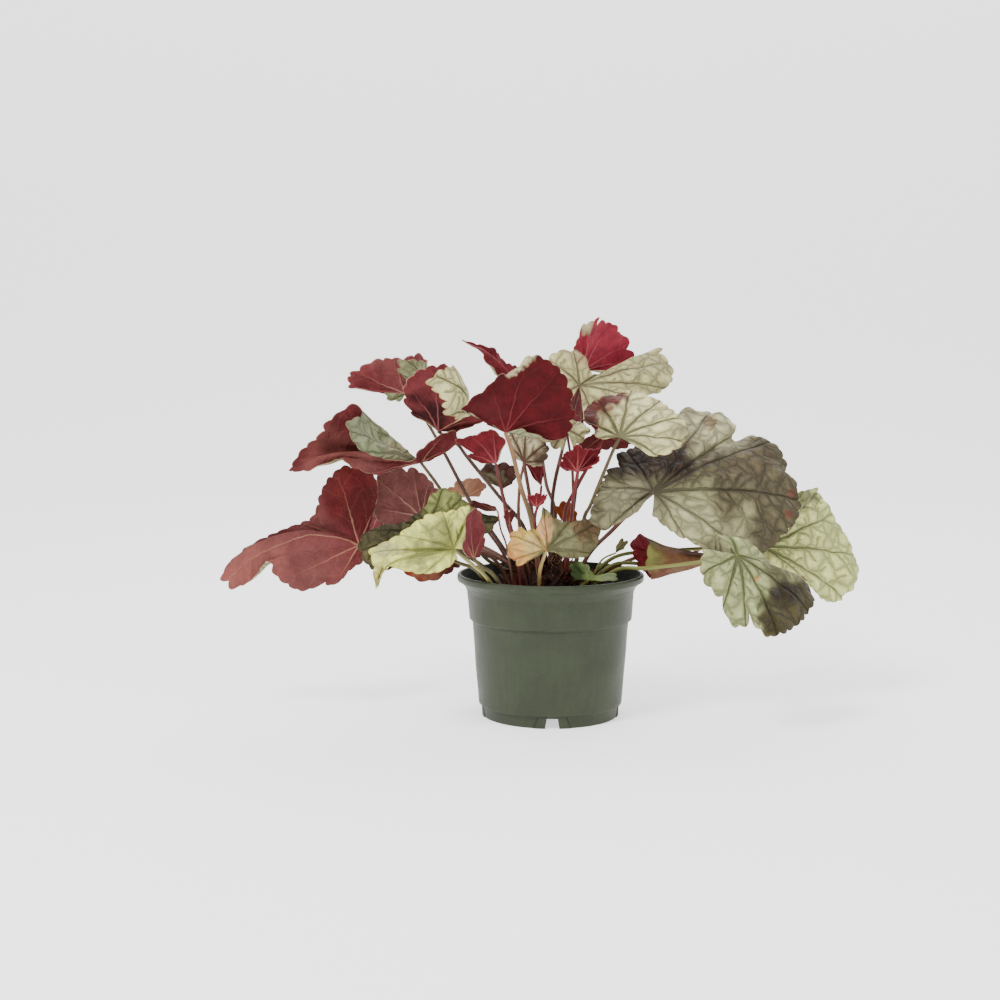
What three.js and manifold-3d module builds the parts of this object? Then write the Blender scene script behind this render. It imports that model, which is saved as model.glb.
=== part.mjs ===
// A heuchera plant growing in its round plastic pot. Millimetres, +Z up. The origin is the middle of the pot's
// underside, +X is the plant's broad side to the right, and -Y is its front.
import * as THREE from "three";
import { mergeVertices } from "three/addons/utils/BufferGeometryUtils.js";
import Module from "manifold-3d";

const wasm = await Module();
wasm.setup();

// ---- Driving dimensions -------------------------------------------------------------------------------------

const GAP = 0.3;
const SHORT_EDGE = 0.08;
const FLAT_TRIANGLE = 0.01;

const POT = {
  sides: 48,
  height: 92,
  rimRadius: 60,
  rimDrop: 7,
  collarTop: 53.8,
  collarFoot: 52.4,
  collarDrop: 29,
  bodyTop: 50.4,
  bodyFoot: 46.4,
  footRadius: 44.2,
  footHeight: 6.5,
  wall: 1.6,
  rimBore: 56.8,
  floor: 8,
  discRadius: 15,
  channelRadius: 41,
  notchWidth: 9,
  notchTop: 6.8,
  notchCount: 4,
};

const SOIL = { top: 85, clearance: 0.35, lumps: 1.6, sides: 32 };

const CROWN = { x: -3, y: 0, radius: 19, height: 13, lumps: 9, lumpDepth: 1.4, sides: 27 };

const BLADE = {
  thick: 0.8,
  toothPitch: 11,
  toothDepth: 1.1,
  cut: 0.985,
  arch: 0.06,
  rings: [0.3, 0.62, 1],
  fill: [0.22, 0.5, 1],
};

const STALK = { radius: 1.5, taper: 0.8, knuckle: 1.5, sides: 5, step: 13, socket: 0.35, sunk: 4 };

const COLOURS = {
  pot: { color: 0x5f6553, roughness: 0.55 },
  soil: { color: 0x1d1713, roughness: 0.95 },
  crown: { color: 0x3a211b, roughness: 0.9 },
  silver: { color: 0xa9a88a, roughness: 0.6 },
  burgundy: { color: 0x7a3236, roughness: 0.6 },
  crimson: { color: 0xa02a38, roughness: 0.55 },
  lime: { color: 0xb3ba86, roughness: 0.6 },
  straw: { color: 0xc3a67d, roughness: 0.7 },
};

// Leaves are drawn in elevation as [across, up, depth]. Across and up are millimetres on the upright plane
// through the pot's axis, as an eye at EYE sees them, and depth then moves the point along its line of sight.
const EYE = new THREE.Vector3(-32.5, -1050, 242);

// ---- The leaves ---------------------------------------------------------------------------------------------
// hub: where the blade meets its petiole. lean: how much further back the blade lies for each millimetre across
// and up from its hub. ribs: the points of the margin in turn, anticlockwise for someone who looks at the upper
// side; via is a point that the rib passes halfway, and cut is how far out the margin reaches between this rib
// and the next. foot and stalk: the petiole's [x, y] in the crown or the soil, and its way up to the hub.

const LEAVES = [
  {
    name: "leaf_left_low",
    colour: "burgundy",
    lean: [0.25, -0.45],
    hub: [-123, 110, -5],
    ribs: [
      [-117, 100, -6],
      [-128, 94, -14],
      { tip: [-139, 85, -20], cut: 0.88 },
      [-160, 80, -18],
      [-173, 86, -8],
      [-179, 92, -4],
      { tip: [-183, 99, 2], via: [-155, 107, 0] },
      { tip: [-196, 85, 6], via: [-160, 110, 2] },
      { tip: [-206, 81, 10], via: [-164, 112, 4], cut: 0.975 },
      { tip: [-213, 88, 14], via: [-165, 115, 6] },
      { tip: [-204, 102, 20], via: [-163, 119, 10] },
      [-188, 113, 20],
      [-173, 120, 20],
      [-154, 128, 18],
      [-149, 141, 20],
      [-143, 153, 20],
      [-132, 161, 18],
      [-115, 158, 14],
      [-111, 141, 8],
      [-116, 121, 2],
    ],
    foot: [-24, -6],
    stalk: [[-38, 102, -6], [-64, 107, -4], [-98, 110, -3]],
  },
  {
    name: "leaf_left_mid",
    colour: "burgundy",
    lean: [0.3, -0.5],
    hub: [-83, 163, 0],
    ribs: [
      [-99, 159, 0],
      [-112, 155, -6],
      [-127, 160, -10],
      [-138, 166, -8],
      { tip: [-156, 158, -4], via: [-121, 168, -4] },
      { tip: [-168, 158, 2], via: [-128, 170, -2] },
      [-160, 170, 8],
      [-149, 180, 12],
      [-145, 188, 14],
      [-137, 194, 16],
      [-127, 200, 18],
      { tip: [-120, 195, 12], via: [-106, 175, 8] },
      { tip: [-131, 189, -4], via: [-107, 175, 2] },
      { tip: [-128, 179, -9], via: [-105, 173, -3] },
      { tip: [-122, 171, -10], via: [-102, 170, -6] },
      [-106, 165, -9],
      [-89, 164, -6],
      [-84, 171, -2],
      [-71, 181, 2],
      [-61, 183, 4],
      [-60, 177, 2],
      [-68, 170, 0],
      [-77, 164, 0],
    ],
    foot: [-18, 4],
    stalk: [[-40, 100, 2], [-54, 118, 3], [-70, 145, 1]],
  },
  {
    name: "leaf_left_back",
    colour: "burgundy",
    lean: [0.2, -0.5],
    hub: [-83, 128, 28],
    ribs: [
      [-92, 116, 24],
      [-106, 122, 28],
      [-115, 132, 30],
      [-112, 145, 34],
      [-111, 155, 36],
      { tip: [-99, 161, 36], cut: 0.9 },
      [-88, 160, 38],
      [-80, 155, 38],
      [-72, 146, 36],
      [-69, 136, 32],
    ],
    foot: [-14, 12],
    stalk: [[-38, 104, 16], [-62, 116, 24]],
  },
  {
    name: "leaf_left_front",
    colour: "lime",
    lean: [0.3, 0.5],
    hub: [-62, 107, -56],
    ribs: [
      [-56, 107, -60],
      [-54, 118, -58],
      [-52, 128, -56],
      [-53, 135, -54],
      [-64, 132, -56],
      [-80, 129, -58],
      [-95, 119, -60],
      [-109, 110, -62],
      { tip: [-117, 106, -62] },
      { tip: [-115, 99, -66], via: [-97, 104, -61], cut: 0.93 },
      { tip: [-114, 90, -67], via: [-98, 101, -63] },
      { tip: [-112, 81, -68], via: [-100, 99, -64] },
      { tip: [-108, 91, -69], via: [-97, 98, -65] },
      { tip: [-103, 95, -67], via: [-92, 98, -64] },
      [-86, 91, -66],
      [-73, 92, -64],
      [-65, 96, -61],
      [-60, 100, -60],
    ],
    foot: [-32, -34],
    stalk: [[-42, 90, -42], [-50, 97, -50]],
  },
  {
    name: "leaf_left_shade",
    colour: "silver",
    lean: [0.2, 0.4],
    hub: [-80, 117, -32],
    ribs: [
      [-62, 116, -34],
      [-40, 118, -34],
      [-34, 127, -34],
      [-45, 131, -34],
      [-52, 137, -33],
      [-60, 143, -32],
      [-69, 146, -31],
      [-77, 142, -31],
      [-82, 134, -33],
      [-97, 124, -34],
      [-110, 122, -36],
      [-121, 117, -38],
      [-124, 109, -40],
      [-121, 100, -42],
      [-114, 94, -42],
      [-100, 98, -42],
    ],
    foot: [-28, -22],
    stalk: [[-42, 95, -27], [-58, 105, -31]],
  },
  {
    name: "leaf_left_edge",
    colour: "burgundy",
    lean: [1.5, -0.2],
    hub: [-49, 101, -52],
    ribs: [
      [-53, 103, -52],
      [-57, 110, -52],
      [-54, 119, -53],
      [-53, 128, -52],
      [-49, 134, -51],
      [-44, 131, -52],
      [-42, 122, -53],
      [-42, 112, -53],
      [-45, 102, -52],
    ],
    foot: [-27, -40],
    stalk: [[-37, 91, -46], [-44, 95, -50]],
  },
  {
    name: "leaf_left_under",
    colour: "burgundy",
    lean: [0.2, -0.4],
    hub: [-71, 103, -46],
    ribs: [
      [-61, 101, -45],
      [-58, 96, -47],
      [-64, 92, -50],
      [-73, 87, -52],
      [-84, 86, -54],
      [-93, 91, -54],
      [-98, 96, -52],
      [-96, 106, -50],
      [-84, 112, -48],
    ],
    foot: [-36, -28],
    stalk: [[-47, 93, -37], [-58, 98, -42]],
  },
  {
    name: "leaf_top_left",
    colour: "burgundy",
    lean: [0.3, -0.6],
    hub: [-93, 207, 44],
    ribs: [
      [-107, 208, 37],
      [-104, 203, 37],
      [-97, 202, 39],
      [-100, 205, 44],
      [-115, 209, 42],
      [-123, 210, 42],
      [-129, 211, 44],
      [-130, 217, 46],
      { tip: [-128, 221, 48], cut: 0.95 },
      [-120, 225, 50],
      [-110, 229, 52],
      [-99, 230, 54],
      [-90, 231, 54],
      [-84, 233, 54],
      { tip: [-79, 228, 50], via: [-82, 216, 48] },
      { tip: [-88, 229, 40], via: [-82, 217, 43] },
      { tip: [-97, 228, 38], via: [-86, 216, 40] },
      { tip: [-98, 222, 37], via: [-88, 214, 39] },
      { tip: [-92, 217, 38] },
    ],
    foot: [-16, 9],
    stalk: [[-26, 102, 6], [-38, 119, 10], [-52, 139, 16], [-69, 171, 28], [-81, 192, 38]],
  },
  {
    name: "leaf_upper_left",
    colour: "burgundy",
    lean: [0.3, -0.5],
    hub: [-72, 183, 7],
    ribs: [
      [-83, 191, 8],
      { tip: [-89, 194, 10], cut: 0.92 },
      { tip: [-94, 202, 12], cut: 0.96 },
      [-94, 210, 12],
      [-91, 216, 12],
      [-84, 222, 12],
      [-77, 225, 10],
      [-69, 225, 6],
      { tip: [-63, 225, 0], via: [-55, 202, 2] },
      { tip: [-72, 222, -10], via: [-53, 202, -6] },
      { tip: [-80, 214, -14], via: [-52, 201, -11] },
      { tip: [-71, 205, -15], via: [-51, 199, -13] },
      { tip: [-69, 195, -14], via: [-51, 197, -13] },
      { tip: [-60, 192, -12], via: [-53, 193, -11] },
      [-47, 194, -8],
      { tip: [-42, 190, -6], cut: 0.9 },
      [-52, 186, -4],
      [-62, 182, 0],
    ],
    foot: [-10, -3],
    stalk: [[-17, 121, -4], [-32, 140, -2], [-53, 166, 8], [-60, 175, 11]],
  },
  {
    name: "leaf_centre",
    colour: "burgundy",
    lean: [0.2, -0.6],
    hub: [-29, 182, -30],
    ribs: [
      [-40, 187, -30],
      [-49, 194, -30],
      [-58, 197, -30],
      [-49, 205, -26],
      [-40, 212, -22],
      [-32, 219, -19],
      { tip: [-24, 222, -18] },
      { tip: [-15, 230, -17] },
      [-8, 231, -17],
      [-1, 228, -18],
      [5, 224, -20],
      [10, 217, -23],
      { tip: [14, 207, -27], cut: 0.93 },
      { tip: [16, 195, -31], cut: 0.95 },
      [14, 186, -34],
      [9, 179, -36],
      [1, 177, -37],
      [-8, 181, -36],
      [-18, 185, -33],
    ],
    foot: [-7, -14],
    radius: 1.8,
    stalk: [[-12, 124, -16], [-19, 147, -20], [-25, 171, -27]],
  },
  {
    name: "leaf_top_point",
    colour: "burgundy",
    lean: [0.6, -0.4],
    hub: [-24, 212, 50],
    ribs: [
      [-33, 219, 46],
      [-41, 228, 46],
      { tip: [-48, 236, 50], via: [-33, 226, 49] },
      { tip: [-57, 241, 56], via: [-34, 228, 52] },
      [-44, 238, 56],
      [-36, 236, 58],
      { tip: [-30, 229, 60], cut: 0.95 },
      [-22, 225, 62],
      [-14, 217, 64],
    ],
    foot: [-7, 13],
    stalk: [[-13, 138, 18], [-17, 162, 28], [-21, 190, 40]],
  },
  {
    name: "leaf_crest",
    colour: "crimson",
    lean: [0.3, -0.4],
    hub: [21, 222, 74],
    ribs: [
      { tip: [15, 235, 70], cut: 0.9 },
      { tip: [20, 250, 68] },
      [25, 252, 66],
      { tip: [31, 255, 66], cut: 0.85 },
      [34, 253, 74],
      { tip: [42, 250, 80], cut: 0.93 },
      { tip: [50, 241, 86], cut: 0.93 },
      [53, 232, 86],
      { tip: [50, 225, 84], cut: 0.95 },
      [43, 219, 80],
      [36, 221, 76],
      [28, 222, 74],
    ],
    foot: [10, 20],
    stalk: [[14, 128, 36], [17, 155, 48], [20, 190, 64]],
  },
  {
    name: "leaf_top_right",
    colour: "silver",
    lean: [0.4, 0.7],
    hub: [18, 212, 44],
    ribs: [
      [20, 190, 36],
      [32, 196, 38],
      [50, 200, 40],
      [62, 206, 44],
      [70, 208, 46],
      [77, 215, 48],
      [78, 222, 50],
      { tip: [73, 229, 54], cut: 0.94 },
      [70, 235, 58],
      [62, 232, 56],
      [55, 224, 50],
      [44, 218, 46],
      [33, 219, 48],
      [25, 221, 42],
      [22, 229, 42],
      { tip: [16, 235, 43], cut: 0.93 },
      [7, 235, 46],
      [-1, 231, 50],
      [-4, 220, 50],
      [0, 206, 46],
      [8, 194, 40],
    ],
    foot: [2, 13],
    stalk: [[1, 138, 16], [7, 170, 28], [14, 196, 38]],
  },
  {
    name: "leaf_upper_right",
    colour: "silver",
    lean: [0.35, 0.6],
    hub: [44, 179, -24],
    ribs: [
      [57, 172, -32],
      [66, 167, -40],
      [75, 168, -44],
      [83, 173, -46],
      [88, 181, -44],
      [86, 190, -38],
      [78, 196, -30],
      { tip: [70, 202, -22], cut: 0.97 },
      [60, 206, -14],
      [49, 209, -8],
      [38, 206, -6],
      { tip: [27, 202, -6], via: [34, 194, -12] },
      { tip: [21, 195, -10], via: [28, 192, -14] },
      { tip: [24, 188, -22], via: [24, 189, -13] },
      { tip: [30, 186, -27], via: [26, 186, -16] },
      [28, 180, -24],
      [34, 178, -24],
    ],
    foot: [14, -6],
    stalk: [[21, 125, -14], [26, 137, -18], [39, 169, -24]],
  },
  {
    name: "leaf_red_band",
    colour: "crimson",
    lean: [0, -1.2],
    hub: [34, 180, 4],
    ribs: [
      [48, 180, 8],
      [53, 176, 6],
      [48, 172, 2],
      [36, 171, -2],
      [22, 169, -4],
      [18, 173, -2],
      [22, 178, 2],
      [27, 181, 4],
    ],
    foot: [12, 5],
    stalk: [[9, 128, 5], [17, 148, 5], [27, 166, 4]],
  },
  {
    name: "leaf_right",
    colour: "silver",
    lean: [0.25, 0.55],
    hub: [66, 144, -14],
    ribs: [
      [65, 129, -20],
      [72, 123, -22],
      { tip: [82, 115, -24] },
      [92, 110, -24],
      [101, 106, -24],
      [116, 101, -22],
      [132, 102, -18],
      [143, 109, -12],
      [155, 122, -8],
      { tip: [161, 135, -6], cut: 0.98 },
      { tip: [157, 150, -4], cut: 0.94 },
      [151, 163, -2],
      [144, 174, 2],
      [128, 179, 6],
      { tip: [117, 177, 8], cut: 0.95 },
      [118, 187, 12],
      { tip: [109, 195, 16], cut: 0.96 },
      { tip: [99, 196, 18], cut: 0.93 },
      { tip: [87, 198, 18] },
      [72, 184, 14],
      [50, 171, 8],
      { tip: [42, 167, 4], cut: 0.8 },
      [36, 158, -4],
      [32, 149, -6],
      [27, 139, -12],
      [25, 125, -16],
      [34, 119, -16],
      [44, 124, -20],
      [56, 131, -21],
    ],
    foot: [16, 2],
    radius: 1.7,
    stalk: [[24, 103, 2], [40, 120, 1], [54, 134, -6]],
  },
  {
    name: "leaf_right_low",
    colour: "silver",
    lean: [0.3, 0.5],
    hub: [120, 103, -50],
    ribs: [
      [97, 106, -46],
      [96, 94, -50],
      { tip: [99, 85, -54] },
      { tip: [106, 77, -56], cut: 0.9 },
      [112, 67, -60],
      [118, 56, -62],
      { tip: [125, 56, -62], cut: 0.85 },
      [132, 56, -60],
      [140, 50, -58],
      [151, 52, -54],
      [163, 61, -48],
      { tip: [170, 74, -42], cut: 0.97 },
      { tip: [165, 85, -38] },
      [150, 91, -38],
      [140, 99, -40],
      [131, 107, -42],
      [118, 116, -42],
      [105, 117, -42],
    ],
    foot: [22, -12],
    stalk: [[43, 94, -22], [63, 95, -30], [96, 99, -42]],
  },
  {
    name: "leaf_far_right",
    colour: "lime",
    lean: [0.5, 0.3],
    hub: [136, 109, 6],
    ribs: [
      [133, 101, 5],
      [143, 92, 4],
      [157, 86, 3],
      [170, 81, 2],
      [178, 73, 4],
      { tip: [188, 74, 6], cut: 0.95 },
      [194, 81, 8],
      [198, 94, 12],
      [193, 109, 16],
      [186, 122, 20],
      [178, 135, 22],
      [172, 142, 20],
      { tip: [170, 147, 16] },
      { tip: [160, 144, 12] },
      [150, 134, 14],
      [138, 124, 12],
    ],
    foot: [20, 8],
    stalk: [[41, 102, 8], [70, 106, 12], [104, 108, 10]],
  },
  {
    name: "leaf_right_rolled",
    colour: "straw",
    hub: [117, 103, -14],
    ribs: [
      { tip: [65, 87, -18], via: [86, 93, -16] },
      { tip: [61, 97, -25], via: [84, 99, -23] },
      { tip: [62, 106, -24], via: [84, 104, -22] },
      { tip: [62, 115, -15], via: [84, 107, -14] },
      { tip: [57, 117, -8], via: [80, 107, -9] },
      { tip: [51, 111, -3], via: [80, 104, -5] },
      { tip: [53, 103, -2], via: [84, 100, -4] },
      { tip: [56, 96, -3], via: [84, 96, -6] },
      { tip: [64, 89, -10], via: [86, 93, -11] },
    ],
    foot: [22, 0],
    stalk: [[40, 97, 1], [62, 98, 5], [92, 100, 4]],
  },
  {
    name: "leaf_old",
    colour: "straw",
    lean: [0.2, 0.4],
    hub: [-3, 106, -46],
    ribs: [
      [5, 104, -46],
      [14, 102, -44],
      [24, 103, -42],
      [30, 110, -40],
      [31, 120, -38],
      { tip: [27, 127, -38] },
      [16, 125, -42],
      { tip: [5, 126, -46] },
      [-2, 131, -48],
      { tip: [-6, 134, -50] },
      { tip: [-8, 124, -52] },
      [-13, 120, -50],
      [-20, 121, -48],
      [-26, 117, -48],
      [-28, 109, -52],
      { tip: [-28, 102, -56], cut: 0.93 },
      [-21, 96, -58],
      [-14, 100, -56],
      [-9, 104, -52],
    ],
    foot: [-8, -40],
    stalk: [[-7, 92, -44]],
  },
  {
    name: "leaf_back_right",
    colour: "burgundy",
    lean: [0.3, -1.0],
    hub: [118, 138, 60],
    ribs: [
      [109, 113, 60],
      [97, 125, 62],
      [91, 145, 68],
      [97, 164, 76],
      [111, 173, 84],
      { tip: [127, 172, 88], cut: 0.9 },
      [142, 163, 88],
      [150, 148, 84],
      { tip: [149, 131, 76], cut: 0.9 },
      [140, 118, 68],
      [127, 112, 62],
    ],
    foot: [18, 16],
    stalk: [[56, 102, 26], [94, 106, 44]],
  },
  {
    name: "leaf_back_middle",
    colour: "burgundy",
    lean: [0.2, -1.2],
    hub: [-3, 199, 92],
    ribs: [
      [-14, 188, 92],
      [-25, 194, 98],
      [-28, 206, 104],
      [-21, 218, 108],
      { tip: [-7, 222, 110], cut: 0.9 },
      [9, 220, 112],
      [24, 214, 112],
      { tip: [34, 204, 110], cut: 0.9 },
      [28, 192, 104],
      [12, 187, 96],
    ],
    foot: [0, 19],
    stalk: [[3, 129, 30], [-3, 150, 44], [-6, 178, 68]],
  },
  {
    name: "leaf_back_left",
    colour: "burgundy",
    lean: [0.3, -1.0],
    hub: [-106, 134, 60],
    ribs: [
      [-101, 110, 62],
      [-122, 107, 64],
      { tip: [-138, 119, 70], cut: 0.9 },
      [-141, 134, 76],
      [-135, 148, 80],
      { tip: [-120, 154, 84], cut: 0.9 },
      [-104, 152, 84],
      [-89, 150, 80],
      [-79, 139, 72],
      [-81, 121, 64],
    ],
    foot: [-9, 19],
    stalk: [[-34, 104, 30], [-66, 118, 48]],
  },
  {
    name: "leaf_inner_silver",
    colour: "silver",
    lean: [0.3, 0.6],
    hub: [-17, 163, -4],
    ribs: [
      [-11, 160, -6],
      [-5, 161, -8],
      { tip: [-2, 166, -8], cut: 0.96 },
      [-1, 172, -6],
      [-4, 177, -4],
      [-10, 182, -2],
      [-20, 187, 0],
      [-27, 186, 0],
      [-27, 179, -2],
      [-25, 172, -4],
      [-22, 165, -5],
    ],
    foot: [-13, -10],
    stalk: [[-20, 122, -10], [-20, 147, -10]],
    radius: 1.3,
  },
  {
    name: "leaf_inner_right",
    colour: "silver",
    lean: [0.3, 0.6],
    hub: [10, 184, 12],
    ribs: [
      [14, 171, 10],
      [20, 176, 10],
      [25, 183, 10],
      [20, 188, 14],
      [4, 191, 16],
      [-4, 184, 14],
      { tip: [-6, 177, 10], cut: 0.95 },
      { tip: [2, 172, 8], cut: 0.96 },
      [8, 170, 8],
    ],
    foot: [4, 6],
    stalk: [[13, 125, 9], [14, 155, 12]],
    radius: 1.2,
  },
  {
    name: "leaf_inner_red",
    colour: "burgundy",
    lean: [0.3, -0.5],
    hub: [-35, 162, 0],
    ribs: [
      [-44, 163, 2],
      { tip: [-53, 167, 6], cut: 0.6 },
      [-61, 177, 10],
      [-52, 180, 8],
      [-44, 183, 4],
      [-37, 184, 2],
      [-29, 177, -2],
      [-32, 169, -2],
    ],
    foot: [-14, -16],
    stalk: [[-25, 119, -13], [-28, 132, -11], [-32, 147, -7]],
    radius: 1.4,
  },
  {
    name: "leaf_inner_olive",
    colour: "silver",
    lean: [0.3, 0.5],
    hub: [-31, 146, 14],
    ribs: [
      [-25, 149, 12],
      [-22, 154, 12],
      [-23, 160, 14],
      { tip: [-30, 163, 16], cut: 0.9 },
      [-41, 162, 18],
      [-45, 157, 18],
      [-40, 150, 16],
    ],
    foot: [-12, 6],
    stalk: [[-27, 120, 10]],
    radius: 1,
  },
  {
    name: "leaf_inner_pink",
    colour: "burgundy",
    lean: [0.4, -0.6],
    hub: [-54, 141, 32],
    ribs: [
      [-60, 140, 32],
      { tip: [-66, 146, 34], cut: 0.9 },
      [-60, 151, 36],
      [-53, 153, 36],
      [-46, 153, 34],
      { tip: [-41, 148, 32] },
      [-46, 141, 30],
    ],
    foot: [-18, 14],
    stalk: [[-32, 107, 20], [-44, 124, 27]],
    radius: 1.2,
  },
  {
    name: "leaf_inner_orange",
    colour: "burgundy",
    lean: [0.3, -0.5],
    hub: [11, 123, 22],
    ribs: [
      [6, 128, 22],
      [3, 134, 24],
      [8, 138, 26],
      { tip: [13, 137, 26], cut: 0.9 },
      [17, 131, 26],
      [17, 125, 24],
    ],
    foot: [5, 15],
    stalk: [],
    radius: 1.1,
  },
  {
    name: "leaf_young_crimson",
    colour: "crimson",
    lean: [0.3, -0.4],
    hub: [17, 157, -14],
    ribs: [
      { tip: [10, 157, -12], cut: 0.9 },
      { tip: [5, 162, -16], cut: 0.9 },
      { tip: [8, 169, -10], cut: 0.85 },
      { tip: [17, 175, -14], cut: 0.8 },
      { tip: [25, 172, -18], cut: 0.85 },
      { tip: [33, 173, -12], cut: 0.85 },
      { tip: [31, 165, -18], cut: 0.9 },
      { tip: [25, 160, -20], cut: 0.9 },
      [22, 156, -16],
    ],
    foot: [8, -10],
    stalk: [[13, 125, -12], [14, 138, -13]],
    radius: 1.2,
  },
  {
    name: "leaf_young_bud",
    colour: "crimson",
    lean: [0.8, 0],
    hub: [-6, 148, 8],
    ribs: [
      [-12, 156, 9],
      [-17, 164, 11],
      { tip: [-12, 163, 8], cut: 0.9 },
      [-6, 163, 6],
      [-4, 156, 7],
    ],
    foot: [-3, 7],
    stalk: [[-10, 125, 6], [-7, 138, 7]],
    radius: 1.1,
  },
  {
    name: "leaf_young_star",
    colour: "crimson",
    hub: [-9, 134, -26],
    ribs: [
      [-14, 137, -27],
      { tip: [-15, 142, -27], cut: 0.85 },
      { tip: [-9, 144, -26], cut: 0.85 },
      [-2, 143, -26],
      [-4, 137, -26],
    ],
    foot: [-7, -24],
    stalk: [[-10, 118, -26]],
    radius: 0.9,
  },
  {
    name: "bract_red",
    colour: "crimson",
    hub: [-26, 122, -22],
    ribs: [
      [-30, 128, -24],
      [-29, 133, -24],
      [-24, 133, -22],
      [-23, 128, -20],
    ],
    foot: [-19, -24],
    stalk: [[-22, 108, -24]],
    radius: 0.9,
  },
  {
    name: "bract_olive",
    colour: "lime",
    hub: [42, 105, -2],
    ribs: [
      [42, 109, -2],
      [46, 114, -3],
      [50, 112, -2],
      [47, 107, -1],
    ],
    foot: [24, -5],
    stalk: [[32, 99, -3]],
    radius: 0.8,
  },
  {
    name: "bract_dark",
    colour: "burgundy",
    hub: [-34, 132, -28],
    ribs: [
      [-42, 132, -29],
      [-51, 136, -30],
      [-50, 139, -29],
      [-42, 137, -27],
      [-35, 135, -26],
    ],
    foot: [-23, -30],
    stalk: [[-28, 108, -29], [-32, 120, -28]],
    radius: 0.8,
  },
  {
    name: "bract_green",
    colour: "lime",
    hub: [24, 87, -30],
    ribs: [
      [33, 86, -30],
      [43, 87, -26],
      [42, 91, -24],
      { tip: [32, 90, -27], cut: 0.9 },
      [27, 92, -27],
      [24, 97, -24],
      [18, 99, -22],
      [13, 97, -22],
      [13, 91, -26],
      [16, 87, -29],
    ],
    foot: [12, -26],
    stalk: [],
    radius: 1.6,
  },
];

// ---- Points, curves and solids ------------------------------------------------------------------------------

// A point of a leaf's blade, leant with it.
function placeOn({ hub, lean = [0, 0] }, [across, up, depth]) {
  const back = lean[0] * (across - hub[0]) + lean[1] * (up - hub[1]);
  return place([across, up, depth + back]);
}

// A point of the elevation, moved along the eye's line of sight to its depth.
function place([across, up, depth]) {
  const reach = (depth - EYE.y) / -EYE.y;
  return new THREE.Vector3(across, 0, up).sub(EYE).multiplyScalar(reach).add(EYE);
}

// Catmull-Rom through a list of points; s counts points, and the end points are mirrored for the ghosts.
function through(points, s) {
  const last = points.length - 1;
  const k = Math.min(Math.floor(s), last - 1);
  const u = s - k;
  const b = points[k];
  const c = points[k + 1];
  const a = k > 0 ? points[k - 1] : b.clone().multiplyScalar(2).sub(c);
  const d = k + 2 <= last ? points[k + 2] : c.clone().multiplyScalar(2).sub(b);
  const blend = (p, q, r, t) =>
    0.5 * (2 * q + (r - p) * u + (2 * p - 5 * q + 4 * r - t) * u * u + (3 * q - p - 3 * r + t) * u ** 3);
  return new THREE.Vector3(blend(a.x, b.x, c.x, d.x), blend(a.y, b.y, c.y, d.y), blend(a.z, b.z, c.z, d.z));
}

// A solid from a list of points and a list of triangles.
function solidOf(points, triangles) {
  const vertProperties = new Float32Array(points.flatMap((p) => [p.x, p.y, p.z]));
  const triVerts = new Uint32Array(triangles.flat());
  return new wasm.Manifold(new wasm.Mesh({ numProp: 3, vertProperties, triVerts }));
}

// A solid from a three.js geometry.
function solidFrom(geometry) {
  geometry.deleteAttribute("normal");
  geometry.deleteAttribute("uv");
  const merged = mergeVertices(geometry, 1e-4);
  const vertProperties = new Float32Array(merged.attributes.position.array);
  const triVerts = new Uint32Array(merged.index.array);
  return new wasm.Manifold(new wasm.Mesh({ numProp: 3, vertProperties, triVerts }));
}

// The ends of an edge that can be merged: it is shorter than SHORT_EDGE, and its ends share two neighbours only.
function edgeToMerge(points, triangles) {
  const around = points.map(() => new Set());
  triangles.forEach((corners) => corners.forEach((id, i) => around[id].add(corners[(i + 1) % 3])));
  for (const corners of triangles) {
    for (let i = 0; i < 3; i++) {
      const a = corners[i];
      const b = corners[(i + 1) % 3];
      const shared = [...around[a]].filter((id) => around[b].has(id));
      if (points[a].distanceTo(points[b]) < SHORT_EDGE && shared.length === 2) return [a, b];
    }
  }
  return null;
}

// The pair of triangles that replaces a triangle with hardly any height and its neighbour over the longest edge.
function flatPair(points, triangles) {
  const owners = new Map();
  triangles.forEach((corners, t) => corners.forEach((id, i) => owners.set(`${id} ${corners[(i + 1) % 3]}`, t)));
  for (const [t, corners] of triangles.entries()) {
    const lengths = corners.map((id, i) => points[id].distanceTo(points[corners[(i + 1) % 3]]));
    const i = lengths.indexOf(Math.max(...lengths));
    const [a, b, c] = [corners[i], corners[(i + 1) % 3], corners[(i + 2) % 3]];
    const face = points[b].clone().sub(points[a]).cross(points[c].clone().sub(points[a]));
    const other = owners.get(`${b} ${a}`);
    const d = triangles[other].find((id) => id !== a && id !== b);
    const joined = owners.has(`${c} ${d}`) || owners.has(`${d} ${c}`);
    if (face.length() < FLAT_TRIANGLE * lengths[i] && !joined) return { t, other, pair: [[a, d, c], [d, b, c]] };
  }
  return null;
}

// A join leaves tiny edges and flat triangles where surfaces nearly meet: this merges them away.
function mended(solid) {
  const mesh = solid.getMesh();
  const points = [];
  for (let i = 0; i < mesh.vertProperties.length; i += 3) {
    points.push(new THREE.Vector3().fromArray(mesh.vertProperties, i));
  }
  let triangles = [];
  for (let i = 0; i < mesh.triVerts.length; i += 3) triangles.push(Array.from(mesh.triVerts.slice(i, i + 3)));
  const rounds = triangles.length;
  for (let round = 0; round < rounds; round++) {
    const edge = edgeToMerge(points, triangles);
    const flat = edge ? null : flatPair(points, triangles);
    if (edge) {
      const renamed = triangles.map((corners) => corners.map((id) => (id === edge[1] ? edge[0] : id)));
      triangles = renamed.filter(([a, b, c]) => a !== b && b !== c && c !== a);
    } else if (flat) {
      triangles[flat.t] = flat.pair[0];
      triangles[flat.other] = flat.pair[1];
    } else {
      break;
    }
  }
  return solidOf(points, triangles);
}

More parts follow.
